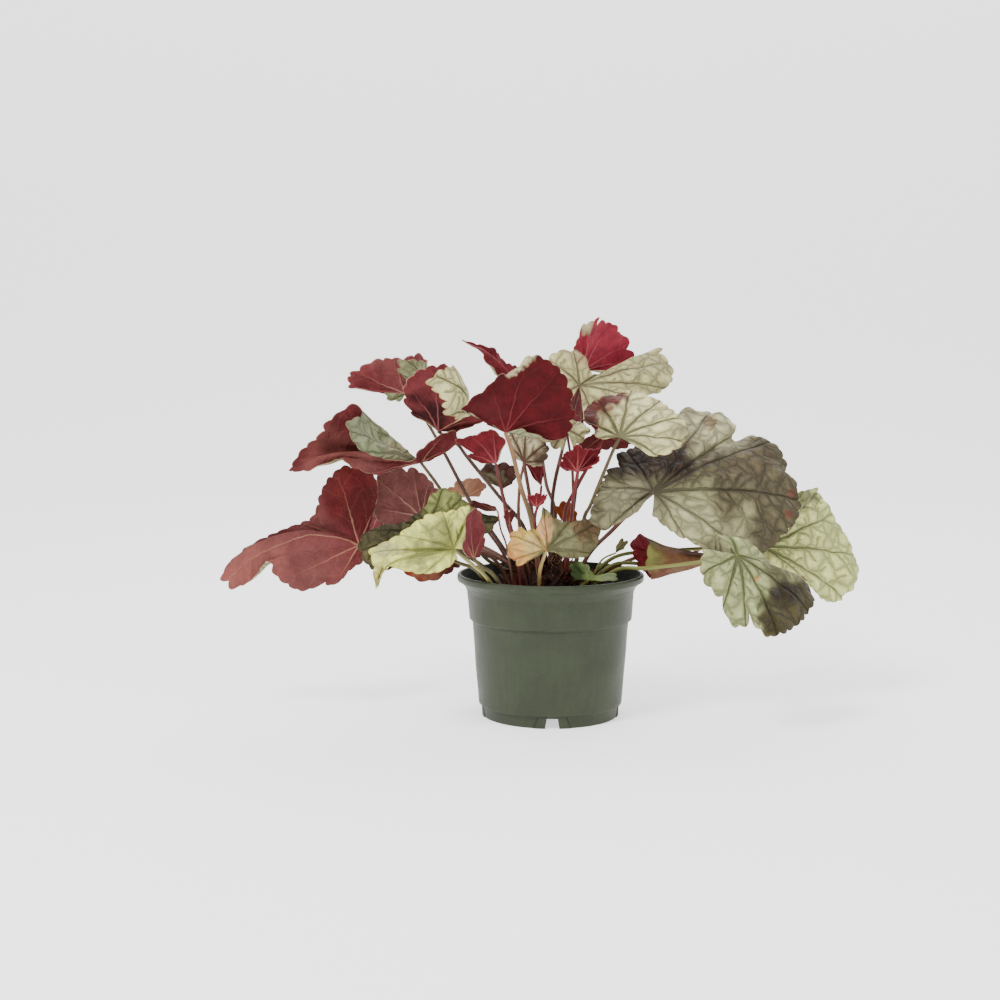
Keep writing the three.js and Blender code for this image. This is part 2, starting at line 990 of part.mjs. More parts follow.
function geometryOf(solid) {
  const mesh = solid.getMesh();
  const geometry = new THREE.BufferGeometry();
  geometry.setAttribute("position", new THREE.BufferAttribute(new Float32Array(mesh.vertProperties), 3));
  geometry.setIndex(new THREE.BufferAttribute(new Uint32Array(mesh.triVerts), 1));
  geometry.computeVertexNormals();
  return geometry;
}

function part(name, solid, { color, roughness }) {
  const material = new THREE.MeshStandardMaterial({ color, roughness, metalness: 0 });
  const mesh = new THREE.Mesh(geometryOf(solid), material);
  mesh.name = name;
  return mesh;
}

// A body turned about Z from a closed outline of [radius, height] points.
function turned(outline, sides) {
  const points = outline.map(([radius, height]) => new THREE.Vector2(radius, height));
  const geometry = new THREE.LatheGeometry(points, sides);
  geometry.rotateX(Math.PI / 2);
  return solidFrom(geometry);
}

// ---- Petioles -----------------------------------------------------------------------------------------------

// Height of the ground at a point: the crown's dome, and the soil round it.
function groundHeight(x, y) {
  const r = Math.hypot(x - CROWN.x, y - CROWN.y) / CROWN.radius;
  return r < 1 ? SOIL.top + GAP + CROWN.height * Math.sqrt(1 - r * r) : SOIL.top;
}

// The petiole's path, from its foot sunk in the ground to the hub of its blade.
function stalkPath(leaf) {
  const [x, y] = leaf.foot;
  const foot = new THREE.Vector3(x, y, groundHeight(x, y) - STALK.sunk);
  return [foot, ...leaf.stalk.map(place), place(leaf.hub)];
}

// A tapered tube along a path, with frames carried along it so that it doesn't twist.
function tube(path, baseRadius, tipRadius) {
  const length = path.slice(1).reduce((sum, p, i) => sum + p.distanceTo(path[i]), 0);
  const steps = Math.max(4, Math.round(length / STALK.step));
  const centres = [];
  for (let i = 0; i <= steps; i++) centres.push(through(path, (i / steps) * (path.length - 1)));
  const points = [];
  const triangles = [];
  let side = new THREE.Vector3(1, 0, 0);
  centres.forEach((centre, i) => {
    const ahead = centres[Math.min(i + 1, steps)];
    const behind = centres[Math.max(i - 1, 0)];
    const along = ahead.clone().sub(behind).normalize();
    side = side.clone().addScaledVector(along, -side.dot(along)).normalize();
    const other = along.clone().cross(side);
    const radius = THREE.MathUtils.lerp(baseRadius, tipRadius, i / steps);
    for (let k = 0; k < STALK.sides; k++) {
      const turn = (2 * Math.PI * k) / STALK.sides;
      const rim = side.clone().multiplyScalar(Math.cos(turn)).addScaledVector(other, Math.sin(turn));
      points.push(centre.clone().addScaledVector(rim, radius));
    }
  });
  for (let i = 0; i < steps; i++) {
    for (let k = 0; k < STALK.sides; k++) {
      const next = (k + 1) % STALK.sides;
      const a = i * STALK.sides;
      const b = a + STALK.sides;
      triangles.push([a + k, a + next, b + next], [a + k, b + next, b + k]);
    }
  }
  const top = steps * STALK.sides;
  for (let k = 1; k < STALK.sides - 1; k++) {
    triangles.push([0, k + 1, k], [top, top + k, top + k + 1]);
  }
  return solidOf(points, triangles);
}

function stalkSolid(leaf, spare = 0) {
  const radius = leaf.radius ?? STALK.radius;
  const path = stalkPath(leaf);
  if (spare) path[0].z -= GAP;
  return tube(path, radius + spare, radius * STALK.taper + spare);
}

// ---- Blades -------------------------------------------------------------------------------------------------

// Tips and halfway points of a leaf's ribs in space. A rib without a via of its own bows a little towards the
// upper side.
function ribsOf(leaf) {
  const hub = place(leaf.hub);
  const ribs = leaf.ribs.map((rib) => (Array.isArray(rib) ? { tip: rib } : rib));
  const tips = ribs.map((rib) => placeOn(leaf, rib.tip));
  const up = new THREE.Vector3();
  for (let k = 1; k < tips.length; k++) {
    up.add(tips[k - 1].clone().sub(hub).cross(tips[k].clone().sub(hub)));
  }
  up.normalize();
  const vias = ribs.map((rib, k) => {
    if (rib.via) return placeOn(leaf, rib.via);
    const bow = BLADE.arch * tips[k].distanceTo(hub);
    return tips[k].clone().add(hub).multiplyScalar(0.5).addScaledVector(up, bow);
  });
  const cuts = ribs.map((rib) => rib.cut ?? BLADE.cut);
  return { hub, tips, vias, cuts };
}

// How many half teeth the margin has between ribs k and k + 1: an odd number of teeth, so that a cut falls
// between two of them.
function halfTeeth(tips, k) {
  const length = tips[k].distanceTo(tips[k + 1]);
  return 2 * (2 * Math.max(0, Math.round((length / BLADE.toothPitch - 1) / 2)) + 1);
}

// A point of the blade: s runs along the margin from rib to rib, and t from the hub to the margin.
function bladePoint({ hub, tips, vias, cuts }, s, t) {
  const k = Math.min(Math.floor(s), tips.length - 2);
  const u = s - k;
  const tip = through(tips, s);
  const via = through(vias, s);
  const reach = tip.distanceTo(hub);
  const notch = (1 - cuts[k]) * (1 - Math.abs(2 * u - 1)) ** 2;
  const teeth = 1 - Math.abs(Math.cos((Math.PI * halfTeeth(tips, k) * u) / 2));
  const tau = t * (1 - notch) * (1 - Math.min(0.2, BLADE.toothDepth / reach) * teeth);
  const bend = via.clone().multiplyScalar(2).addScaledVector(hub, -0.5).addScaledVector(tip, -0.5);
  return hub
    .clone()
    .multiplyScalar((1 - tau) ** 2)
    .addScaledVector(bend, 2 * tau * (1 - tau))
    .addScaledVector(tip, tau * tau);
}

// Joins two rows of points that run side by side, each a list of { s, id }, into triangles.
function stitch(inner, outer, triangles) {
  let i = 0;
  let j = 0;
  while (i < inner.length - 1 || j < outer.length - 1) {
    const stepOuter = i === inner.length - 1 || (j < outer.length - 1 && outer[j + 1].s <= inner[i + 1].s);
    if (stepOuter) {
      triangles.push([inner[i].id, outer[j].id, outer[j + 1].id]);
      j += 1;
    } else {
      triangles.push([inner[i].id, outer[j].id, inner[i + 1].id]);
      i += 1;
    }
  }
}

// The blade's middle surface: its points, its triangles and the loop of points round its edge.
function bladeSurface(leaf) {
  const ribs = ribsOf(leaf);
  const points = [ribs.hub];
  const triangles = [];
  const rows = BLADE.rings.map((t, ring) => {
    const row = [];
    for (let k = 0; k < ribs.tips.length - 1; k++) {
      const steps = Math.max(1, Math.round(halfTeeth(ribs.tips, k) * BLADE.fill[ring]));
      const first = k === 0 ? 0 : 1;
      for (let i = first; i <= steps; i++) {
        const s = k + i / steps;
        row.push({ s, id: points.length });
        points.push(bladePoint(ribs, s, t));
      }
    }
    return row;
  });
  for (let i = 1; i < rows[0].length; i++) triangles.push([0, rows[0][i - 1].id, rows[0][i].id]);
  for (let ring = 1; ring < rows.length; ring++) stitch(rows[ring - 1], rows[ring], triangles);
  const out = rows.slice(0, -1).map((row) => row[0].id);
  const margin = rows.at(-1).map((point) => point.id);
  const back = rows.slice(0, -1).map((row) => row.at(-1).id).reverse();
  return { points, triangles, loop: [0, ...out, ...margin, ...back] };
}

// The blade as a thin closed shell, half its thickness either side of its middle surface.
function bladeSolid(leaf) {
  const { points, triangles, loop } = bladeSurface(leaf);
  const normals = points.map(() => new THREE.Vector3());
  triangles.forEach(([a, b, c]) => {
    const face = points[b].clone().sub(points[a]).cross(points[c].clone().sub(points[a]));
    [a, b, c].forEach((id) => normals[id].add(face));
  });
  const count = points.length;
  const shifted = (side) =>
    points.map((p, i) => p.clone().addScaledVector(normals[i].clone().normalize(), (side * BLADE.thick) / 2));
  const shell = [...shifted(1), ...shifted(-1)];
  const faces = [];
  triangles.forEach(([a, b, c]) => {
    faces.push([a, b, c]);
    faces.push([a + count, c + count, b + count]);
  });
  loop.forEach((a, i) => {
    const b = loop[(i + 1) % loop.length];
    faces.push([b, a, a + count], [b, a + count, b + count]);
  });
  return solidOf(shell, faces);
}

// Blade, petiole and the small knuckle where they meet, as one piece.
function leafSolid(leaf) {
  const knuckle = new THREE.OctahedronGeometry(STALK.knuckle * (leaf.radius ?? STALK.radius));
  knuckle.translate(...place(leaf.hub).toArray());
  return mended(bladeSolid(leaf).add(stalkSolid(leaf).add(solidFrom(knuckle))));
}

// ---- Pot, soil and crown ------------------------------------------------------------------------------------

// The pot's wall in section, from the standing disc out, up the outside, over the rim and down the inside.
function potOutline() {
  const collarBottom = POT.height - POT.collarDrop;
  const rimBottom = POT.height - POT.rimDrop;
  return [
    [0, 0],
    [POT.discRadius, 0],
    [POT.discRadius + 1, POT.floor - POT.wall],
    [POT.channelRadius, POT.floor - POT.wall],
    [POT.channelRadius + 1, 0],
    [POT.footRadius, 0],
    [POT.footRadius + 0.3, POT.footHeight],
    [POT.bodyFoot, POT.footHeight + 2.5],
    [POT.bodyTop, collarBottom - 2],
    [POT.collarFoot, collarBottom],
    [POT.collarTop, rimBottom - 3],
    [POT.rimRadius - 3, rimBottom - 1],
    [POT.rimRadius - 0.4, rimBottom],
    [POT.rimRadius, rimBottom + 2],
    [POT.rimRadius, POT.height - 1],
    [POT.rimRadius - 1, POT.height],
    [POT.rimBore + 0.5, POT.height],
    [POT.rimBore - 0.3, POT.height - 1],
    [POT.collarTop - POT.wall, rimBottom - 3],
    [POT.collarFoot - POT.wall, collarBottom + 1],
    [POT.bodyTop - POT.wall, collarBottom - 3],
    [POT.bodyFoot - POT.wall, POT.floor + 1],
    [POT.bodyFoot - POT.wall - 1, POT.floor],
    [0, POT.floor],
  ];
}

// What a drain notch leaves out of the foot ring, wider at the ground than at its top.
function notchCutter() {
  const cutter = new THREE.BoxGeometry(1, 12, 2 * POT.footHeight);
  const corners = cutter.attributes.position;
  const spread = POT.notchWidth - POT.notchTop;
  for (let i = 0; i < corners.count; i++) {
    const width = POT.notchWidth - (spread * corners.getZ(i)) / POT.footHeight;
    corners.setX(i, corners.getX(i) * width);
  }
  return cutter.translate(0, -POT.footRadius, 0);
}

// The pot, with drain notches through the foot ring, the first of them at the front.
function potSolid() {
  let pot = turned(potOutline(), POT.sides);
  for (let i = 0; i < POT.notchCount; i++) {
    const cutter = notchCutter();
    cutter.rotateZ((2 * Math.PI * i) / POT.notchCount);
    pot = pot.subtract(solidFrom(cutter));
  }
  return pot;
}

// Radius of the pot's inside at a height, less the soil's clearance.
function boreAt(height) {
  const collarBottom = POT.height - POT.collarDrop;
  const inner = [
    [POT.floor, POT.bodyFoot - POT.wall - 1],
    [POT.floor + 1, POT.bodyFoot - POT.wall],
    [collarBottom - 3, POT.bodyTop - POT.wall],
    [collarBottom + 1, POT.collarFoot - POT.wall],
    [POT.height - POT.rimDrop - 3, POT.collarTop - POT.wall],
    [POT.height - 1, POT.rimBore - 0.3],
  ];
  const above = inner.findIndex(([h]) => h >= height);
  const [lowHeight, lowRadius] = inner[Math.max(0, above - 1)];
  const [highHeight, highRadius] = inner[Math.max(1, above)];
  const share = (height - lowHeight) / (highHeight - lowHeight);
  return lowRadius + share * (highRadius - lowRadius) - SOIL.clearance;
}

// Potting soil: it fills the pot, and its top is lumpy outside the ring where the crown sits.
function soilSolid() {
  const collarBottom = POT.height - POT.collarDrop;
  const heights = [POT.floor + GAP, POT.floor + 1.2, collarBottom - 3, collarBottom + 1, SOIL.top - 4];
  const outline = [
    [0, heights[0]],
    ...heights.map((height) => [boreAt(height) - (height < POT.floor + 1 ? 0.5 : 0), height]),
    [boreAt(SOIL.top - 4) - 0.6, SOIL.top - 1],
    [46, SOIL.top],
    [39, SOIL.top],
    [31, SOIL.top],
    [CROWN.radius + 4, SOIL.top],
    [0, SOIL.top],
  ];
  const geometry = new THREE.LatheGeometry(outline.map(([r, h]) => new THREE.Vector2(r, h)), SOIL.sides);
  geometry.rotateX(Math.PI / 2);
  const position = geometry.attributes.position;
  for (let i = 0; i < position.count; i++) {
    const x = position.getX(i);
    const y = position.getY(i);
    const z = position.getZ(i);
    const r = Math.hypot(x, y);
    if (z > SOIL.top - 0.5 && r > CROWN.radius + 8) {
      const lump = Math.sin(0.31 * x + 1.3) * Math.cos(0.27 * y) + 0.6 * Math.sin(0.7 * x - 0.6 * y);
      position.setZ(i, z + SOIL.lumps * lump);
    }
  }
  return solidFrom(geometry);
}

// The woody crown: a low dome with lobes round it, flat underneath where it sits on the soil.
function crownSolid() {
  const rows = 6;
  const outline = [[0, 0]];
  for (let i = 0; i <= rows; i++) {
    const lift = (i / rows) * (Math.PI / 2);
    outline.push([CROWN.radius * Math.cos(lift), CROWN.height * Math.sin(lift)]);
  }
  outline.at(-1)[0] = 0;
  const geometry = new THREE.LatheGeometry(outline.map(([r, h]) => new THREE.Vector2(r, h)), CROWN.sides);
  geometry.rotateX(Math.PI / 2);
  const position = geometry.attributes.position;
  for (let i = 0; i < position.count; i++) {
    const x = position.getX(i);
    const y = position.getY(i);
    const r = Math.hypot(x, y);
    if (r < 1e-6) continue;
    const lobe = CROWN.lumpDepth * (r / CROWN.radius) * Math.sin(CROWN.lumps * Math.atan2(y, x));
    position.setXY(i, x * (1 + lobe / r), y * (1 + lobe / r));
  }
  geometry.translate(CROWN.x, CROWN.y, SOIL.top + GAP);
  return solidFrom(geometry);
}

// ---- The plant in its pot -----------------------------------------------------------------------------------

const plant = new THREE.Group();
let soil = soilSolid();
let crown = crownSolid();

for (const leaf of LEAVES) {
  const socket = stalkSolid(leaf, STALK.socket);
  soil = soil.subtract(socket);
  crown = crown.subtract(socket);
  plant.add(part(leaf.name, leafSolid(leaf), COLOURS[leaf.colour]));
}

plant.add(part("pot", potSolid(), COLOURS.pot));
plant.add(part("soil", mended(soil), COLOURS.soil));
plant.add(part("crown", mended(crown), COLOURS.crown));

export default plant;
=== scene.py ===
"""Looks of a heuchera plant in its round nursery pot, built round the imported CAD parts.

Lengths are millimetres, and mesh_object and the studio turn them into metres. Colours are sRGB, 0 to 255.
"""

import math

import bpy
import numpy as np
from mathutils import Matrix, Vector


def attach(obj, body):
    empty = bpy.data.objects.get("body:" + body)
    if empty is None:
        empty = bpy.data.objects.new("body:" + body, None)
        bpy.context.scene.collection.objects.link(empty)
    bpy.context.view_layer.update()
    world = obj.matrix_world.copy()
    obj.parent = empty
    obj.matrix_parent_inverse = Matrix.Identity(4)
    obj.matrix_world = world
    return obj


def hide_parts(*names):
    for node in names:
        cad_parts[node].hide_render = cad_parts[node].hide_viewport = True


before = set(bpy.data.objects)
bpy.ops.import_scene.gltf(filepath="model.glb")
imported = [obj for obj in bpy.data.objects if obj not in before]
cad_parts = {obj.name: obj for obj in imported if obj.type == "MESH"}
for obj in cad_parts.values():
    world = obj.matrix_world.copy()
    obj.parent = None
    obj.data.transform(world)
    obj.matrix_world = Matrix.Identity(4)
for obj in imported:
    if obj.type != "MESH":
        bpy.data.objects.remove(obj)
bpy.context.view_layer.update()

MM = 0.001
EYE = np.array([-32.5, -1050.0, 242.0])
CAMERA_PITCH = 84.4
CAMERA_LENS = 59.26

# Sizes of pot, notches, soil, crown and papery scales, and counts of what is strewn there.
POT = dict(sides=360, split=2.2, body=43.0, edge_angle=40.0, panel_top=7.7, step=61.6)
NOTCH = dict(count=4, width=9.0, spread=2.2, height=6.5, ring=44.2, deep=12.0)
SOIL_TOP = 85.0
SOIL = dict(floor=8.3, radius=52.4, rim=84.0, rings=60, sides=200, crumbs=1500, crumb_reach=50.5)
CROWN = dict(
    x=-3.0, y=0.0, radius=19.0, height=13.0, lift=0.3, sides=160, rings=44, stubs=70, scales=2, threads=60,
)
SCALE = dict(rows=9, columns=7, reach=53.8)

# Sizes of blades and petioles, of the folds that are modelled and of the veins that are drawn.
BLADE = dict(thick=0.56, spacing=0.95, tooth_pitch=8.0, tooth_depth=1.7, cut=0.995, arch=0.06)
STALK = dict(radius=1.5, slim=0.88, taper=0.8, swell=0.3, sides=12, rings=44, sunk=4.0)
FOLD = dict(side_gap=9.0, side_reach=5.8, widest_turn=1.4, broad_wave=16.0, ruffle_wave=22.0)
VEINS = dict(side_gap=15.0, cell=12.5, small_cell=5.6)

# ---- The leaves: the same points as in the CAD part -----------------------------------------------------

LEAVES = [
    dict(
        name="leaf_left_low",
        lean=(0.25, -0.45),
        hub=(-123, 110, -5),
        ribs=[
            (-117, 100, -6), (-128, 94, -14), dict(tip=(-139, 85, -20), cut=0.88), (-160, 80, -18),
            (-173, 86, -8), (-179, 92, -4), dict(tip=(-183, 99, 2), via=(-155, 107, 0)),
            dict(tip=(-196, 85, 6), via=(-160, 110, 2)),
            dict(tip=(-206, 81, 10), via=(-164, 112, 4), cut=0.975),
            dict(tip=(-213, 88, 14), via=(-165, 115, 6)),
            dict(tip=(-204, 102, 20), via=(-163, 119, 10)), (-188, 113, 20), (-173, 120, 20),
            (-154, 128, 18), (-149, 141, 20), (-143, 153, 20), (-132, 161, 18), (-115, 158, 14),
            (-111, 141, 8), (-116, 121, 2),
        ],
        foot=(-24, -6),
        stalk=[(-38, 102, -6), (-64, 107, -4), (-98, 110, -3)],
    ),
    dict(
        name="leaf_left_mid",
        lean=(0.3, -0.5),
        hub=(-83, 163, 0),
        ribs=[
            (-99, 159, 0), (-112, 155, -6), (-127, 160, -10), (-138, 166, -8),
            dict(tip=(-156, 158, -4), via=(-121, 168, -4)),
            dict(tip=(-168, 158, 2), via=(-128, 170, -2)), (-160, 170, 8), (-149, 180, 12),
            (-145, 188, 14), (-137, 194, 16), (-127, 200, 18),
            dict(tip=(-120, 195, 12), via=(-106, 175, 8)),
            dict(tip=(-131, 189, -4), via=(-107, 175, 2)),
            dict(tip=(-128, 179, -9), via=(-105, 173, -3)),
            dict(tip=(-122, 171, -10), via=(-102, 170, -6)), (-106, 165, -9), (-89, 164, -6),
            (-84, 171, -2), (-71, 181, 2), (-61, 183, 4), (-60, 177, 2), (-68, 170, 0), (-77, 164, 0),
        ],
        foot=(-18, 4),
        stalk=[(-40, 100, 2), (-54, 118, 3), (-70, 145, 1)],
    ),
    dict(
        name="leaf_left_back",
        lean=(0.2, -0.5),
        hub=(-83, 128, 28),
        ribs=[
            (-92, 116, 24), (-106, 122, 28), (-115, 132, 30), (-112, 145, 34), (-111, 155, 36),
            dict(tip=(-99, 161, 36), cut=0.9), (-88, 160, 38), (-80, 155, 38), (-72, 146, 36),
            (-69, 136, 32),
        ],
        foot=(-14, 12),
        stalk=[(-38, 104, 16), (-62, 116, 24)],
    ),
    dict(
        name="leaf_left_front",
        lean=(0.3, 0.5),
        hub=(-62, 107, -56),
        ribs=[
            (-56, 107, -60), (-54, 118, -58), (-52, 128, -56), (-53, 135, -54), (-64, 132, -56),
            (-80, 129, -58), (-95, 119, -60), (-109, 110, -62), dict(tip=(-117, 106, -62)),
            dict(tip=(-115, 99, -66), via=(-97, 104, -61), cut=0.93),
            dict(tip=(-114, 90, -67), via=(-98, 101, -63)),
            dict(tip=(-112, 81, -68), via=(-100, 99, -64)),
            dict(tip=(-108, 91, -69), via=(-97, 98, -65)),
            dict(tip=(-103, 95, -67), via=(-92, 98, -64)), (-86, 91, -66), (-73, 92, -64),
            (-65, 96, -61), (-60, 100, -60),
        ],
        foot=(-32, -34),
        stalk=[(-42, 90, -42), (-50, 97, -50)],
    ),
    dict(
        name="leaf_left_shade",
        lean=(0.2, 0.4),
        hub=(-80, 117, -32),
        ribs=[
            (-62, 116, -34), (-40, 118, -34), (-34, 127, -34), (-45, 131, -34), (-52, 137, -33),
            (-60, 143, -32), (-69, 146, -31), (-77, 142, -31), (-82, 134, -33), (-97, 124, -34),
            (-110, 122, -36), (-121, 117, -38), (-124, 109, -40), (-121, 100, -42), (-114, 94, -42),
            (-100, 98, -42),
        ],
        foot=(-28, -22),
        stalk=[(-42, 95, -27), (-58, 105, -31)],
    ),
    dict(
        name="leaf_left_edge",
        lean=(1.5, -0.2),
        hub=(-49, 101, -52),
        ribs=[
            (-53, 103, -52), (-57, 110, -52), (-54, 119, -53), (-53, 128, -52), (-49, 134, -51),
            (-44, 131, -52), (-42, 122, -53), (-42, 112, -53), (-45, 102, -52),
        ],
        foot=(-27, -40),
        stalk=[(-37, 91, -46), (-44, 95, -50)],
    ),
    dict(
        name="leaf_left_under",
        lean=(0.2, -0.4),
        hub=(-71, 103, -46),
        ribs=[
            (-61, 101, -45), (-58, 96, -47), (-64, 92, -50), (-73, 87, -52), (-84, 86, -54),
            (-93, 91, -54), (-98, 96, -52), (-96, 106, -50), (-84, 112, -48),
        ],
        foot=(-36, -28),
        stalk=[(-47, 93, -37), (-58, 98, -42)],
    ),
    dict(
        name="leaf_top_left",
        lean=(0.3, -0.6),
        hub=(-93, 207, 44),
        ribs=[
            (-107, 208, 37), (-104, 203, 37), (-97, 202, 39), (-100, 205, 44), (-115, 209, 42),
            (-123, 210, 42), (-129, 211, 44), (-130, 217, 46), dict(tip=(-128, 221, 48), cut=0.95),
            (-120, 225, 50), (-110, 229, 52), (-99, 230, 54), (-90, 231, 54), (-84, 233, 54),
            dict(tip=(-79, 228, 50), via=(-82, 216, 48)), dict(tip=(-88, 229, 40), via=(-82, 217, 43)),
            dict(tip=(-97, 228, 38), via=(-86, 216, 40)), dict(tip=(-98, 222, 37), via=(-88, 214, 39)),
            dict(tip=(-92, 217, 38)),
        ],
        foot=(-16, 9),
        stalk=[(-26, 102, 6), (-38, 119, 10), (-52, 139, 16), (-69, 171, 28), (-81, 192, 38)],
    ),
    dict(
        name="leaf_upper_left",
        lean=(0.3, -0.5),
        hub=(-72, 183, 7),
        ribs=[
            (-83, 191, 8), dict(tip=(-89, 194, 10), cut=0.92), dict(tip=(-94, 202, 12), cut=0.96),
            (-94, 210, 12), (-91, 216, 12), (-84, 222, 12), (-77, 225, 10), (-69, 225, 6),
            dict(tip=(-63, 225, 0), via=(-55, 202, 2)), dict(tip=(-72, 222, -10), via=(-53, 202, -6)),
            dict(tip=(-80, 214, -14), via=(-52, 201, -11)),
            dict(tip=(-71, 205, -15), via=(-51, 199, -13)),
            dict(tip=(-69, 195, -14), via=(-51, 197, -13)),
            dict(tip=(-60, 192, -12), via=(-53, 193, -11)), (-47, 194, -8),
            dict(tip=(-42, 190, -6), cut=0.9), (-52, 186, -4), (-62, 182, 0),
        ],
        foot=(-10, -3),
        stalk=[(-17, 121, -4), (-32, 140, -2), (-53, 166, 8), (-60, 175, 11)],
    ),
    dict(
        name="leaf_centre",
        lean=(0.2, -0.6),
        hub=(-29, 182, -30),
        ribs=[
            (-40, 187, -30), (-49, 194, -30), (-58, 197, -30), (-49, 205, -26), (-40, 212, -22),
            (-32, 219, -19), dict(tip=(-24, 222, -18)), dict(tip=(-15, 230, -17)), (-8, 231, -17),
            (-1, 228, -18), (5, 224, -20), (10, 217, -23), dict(tip=(14, 207, -27), cut=0.93),
            dict(tip=(16, 195, -31), cut=0.95), (14, 186, -34), (9, 179, -36), (1, 177, -37),
            (-8, 181, -36), (-18, 185, -33),
        ],
        foot=(-7, -14),
        stalk=[(-12, 124, -16), (-19, 147, -20), (-25, 171, -27)],
        radius=1.8,
    ),
    dict(
        name="leaf_top_point",
        lean=(0.6, -0.4),
        hub=(-24, 212, 50),
        ribs=[
            (-33, 219, 46), (-41, 228, 46), dict(tip=(-48, 236, 50), via=(-33, 226, 49)),
            dict(tip=(-57, 241, 56), via=(-34, 228, 52)), (-44, 238, 56), (-36, 236, 58),
            dict(tip=(-30, 229, 60), cut=0.95), (-22, 225, 62), (-14, 217, 64),
        ],
        foot=(-7, 13),
        stalk=[(-13, 138, 18), (-17, 162, 28), (-21, 190, 40)],
    ),
    dict(
        name="leaf_crest",
        lean=(0.3, -0.4),
        hub=(21, 222, 74),
        ribs=[
            dict(tip=(15, 235, 70), cut=0.9), dict(tip=(20, 250, 68)), (25, 252, 66),
            dict(tip=(31, 255, 66), cut=0.85), (34, 253, 74), dict(tip=(42, 250, 80), cut=0.93),
            dict(tip=(50, 241, 86), cut=0.93), (53, 232, 86), dict(tip=(50, 225, 84), cut=0.95),
            (43, 219, 80), (36, 221, 76), (28, 222, 74),
        ],
        foot=(10, 20),
        stalk=[(14, 128, 36), (17, 155, 48), (20, 190, 64)],
    ),
    dict(
        name="leaf_top_right",
        lean=(0.4, 0.7),
        hub=(18, 212, 44),
        ribs=[
            (20, 190, 36), (32, 196, 38), (50, 200, 40), (62, 206, 44), (70, 208, 46), (77, 215, 48),
            (78, 222, 50), dict(tip=(73, 229, 54), cut=0.94), (70, 235, 58), (62, 232, 56),
            (55, 224, 50), (44, 218, 46), (33, 219, 48), (25, 221, 42), (22, 229, 42),
            dict(tip=(16, 235, 43), cut=0.93), (7, 235, 46), (-1, 231, 50), (-4, 220, 50),
            (0, 206, 46), (8, 194, 40),
        ],
        foot=(2, 13),
        stalk=[(1, 138, 16), (7, 170, 28), (14, 196, 38)],
    ),
    dict(
        name="leaf_upper_right",
        lean=(0.35, 0.6),
        hub=(44, 179, -24),
        ribs=[
            (57, 172, -32), (66, 167, -40), (75, 168, -44), (83, 173, -46), (88, 181, -44),
            (86, 190, -38), (78, 196, -30), dict(tip=(70, 202, -22), cut=0.97), (60, 206, -14),
            (49, 209, -8), (38, 206, -6), dict(tip=(27, 202, -6), via=(34, 194, -12)),
            dict(tip=(21, 195, -10), via=(28, 192, -14)), dict(tip=(24, 188, -22), via=(24, 189, -13)),
            dict(tip=(30, 186, -27), via=(26, 186, -16)), (28, 180, -24), (34, 178, -24),
        ],
        foot=(14, -6),
        stalk=[(21, 125, -14), (26, 137, -18), (39, 169, -24)],
    ),
    dict(
        name="leaf_red_band",
        lean=(0, -1.2),
        hub=(34, 180, 4),
        ribs=[
            (48, 180, 8), (53, 176, 6), (48, 172, 2), (36, 171, -2), (22, 169, -4), (18, 173, -2),
            (22, 178, 2), (27, 181, 4),
        ],
        foot=(12, 5),
        stalk=[(9, 128, 5), (17, 148, 5), (27, 166, 4)],
    ),
    dict(
        name="leaf_right",
        lean=(0.25, 0.55),
        hub=(66, 144, -14),
        ribs=[
            (65, 129, -20), (72, 123, -22), dict(tip=(82, 115, -24)), (92, 110, -24), (101, 106, -24),
            (116, 101, -22), (132, 102, -18), (143, 109, -12), (155, 122, -8),
            dict(tip=(161, 135, -6), cut=0.98), dict(tip=(157, 150, -4), cut=0.94), (151, 163, -2),
            (144, 174, 2), (128, 179, 6), dict(tip=(117, 177, 8), cut=0.95), (118, 187, 12),
            dict(tip=(109, 195, 16), cut=0.96), dict(tip=(99, 196, 18), cut=0.93),
            dict(tip=(87, 198, 18)), (72, 184, 14), (50, 171, 8), dict(tip=(42, 167, 4), cut=0.8),
            (36, 158, -4), (32, 149, -6), (27, 139, -12), (25, 125, -16), (34, 119, -16),
            (44, 124, -20), (56, 131, -21),
        ],
        foot=(16, 2),
        stalk=[(24, 103, 2), (40, 120, 1), (54, 134, -6)],
        radius=1.7,
    ),
    dict(
        name="leaf_right_low",
        lean=(0.3, 0.5),
        hub=(120, 103, -50),
        ribs=[
            (97, 106, -46), (96, 94, -50), dict(tip=(99, 85, -54)), dict(tip=(106, 77, -56), cut=0.9),
            (112, 67, -60), (118, 56, -62), dict(tip=(125, 56, -62), cut=0.85), (132, 56, -60),
            (140, 50, -58), (151, 52, -54), (163, 61, -48), dict(tip=(170, 74, -42), cut=0.97),
            dict(tip=(165, 85, -38)), (150, 91, -38), (140, 99, -40), (131, 107, -42), (118, 116, -42),
            (105, 117, -42),
        ],
        foot=(22, -12),
        stalk=[(43, 94, -22), (63, 95, -30), (96, 99, -42)],
    ),
    dict(
        name="leaf_far_right",
        lean=(0.5, 0.3),
        hub=(136, 109, 6),
        ribs=[
            (133, 101, 5), (143, 92, 4), (157, 86, 3), (170, 81, 2), (178, 73, 4),
            dict(tip=(188, 74, 6), cut=0.95), (194, 81, 8), (198, 94, 12), (193, 109, 16),
            (186, 122, 20), (178, 135, 22), (172, 142, 20), dict(tip=(170, 147, 16)),
            dict(tip=(160, 144, 12)), (150, 134, 14), (138, 124, 12),
        ],
        foot=(20, 8),
        stalk=[(41, 102, 8), (70, 106, 12), (104, 108, 10)],
    ),
    dict(
        name="leaf_right_rolled",
        hub=(117, 103, -14),
        ribs=[
            dict(tip=(65, 87, -18), via=(86, 93, -16)), dict(tip=(61, 97, -25), via=(84, 99, -23)),
            dict(tip=(62, 106, -24), via=(84, 104, -22)), dict(tip=(62, 115, -15), via=(84, 107, -14)),
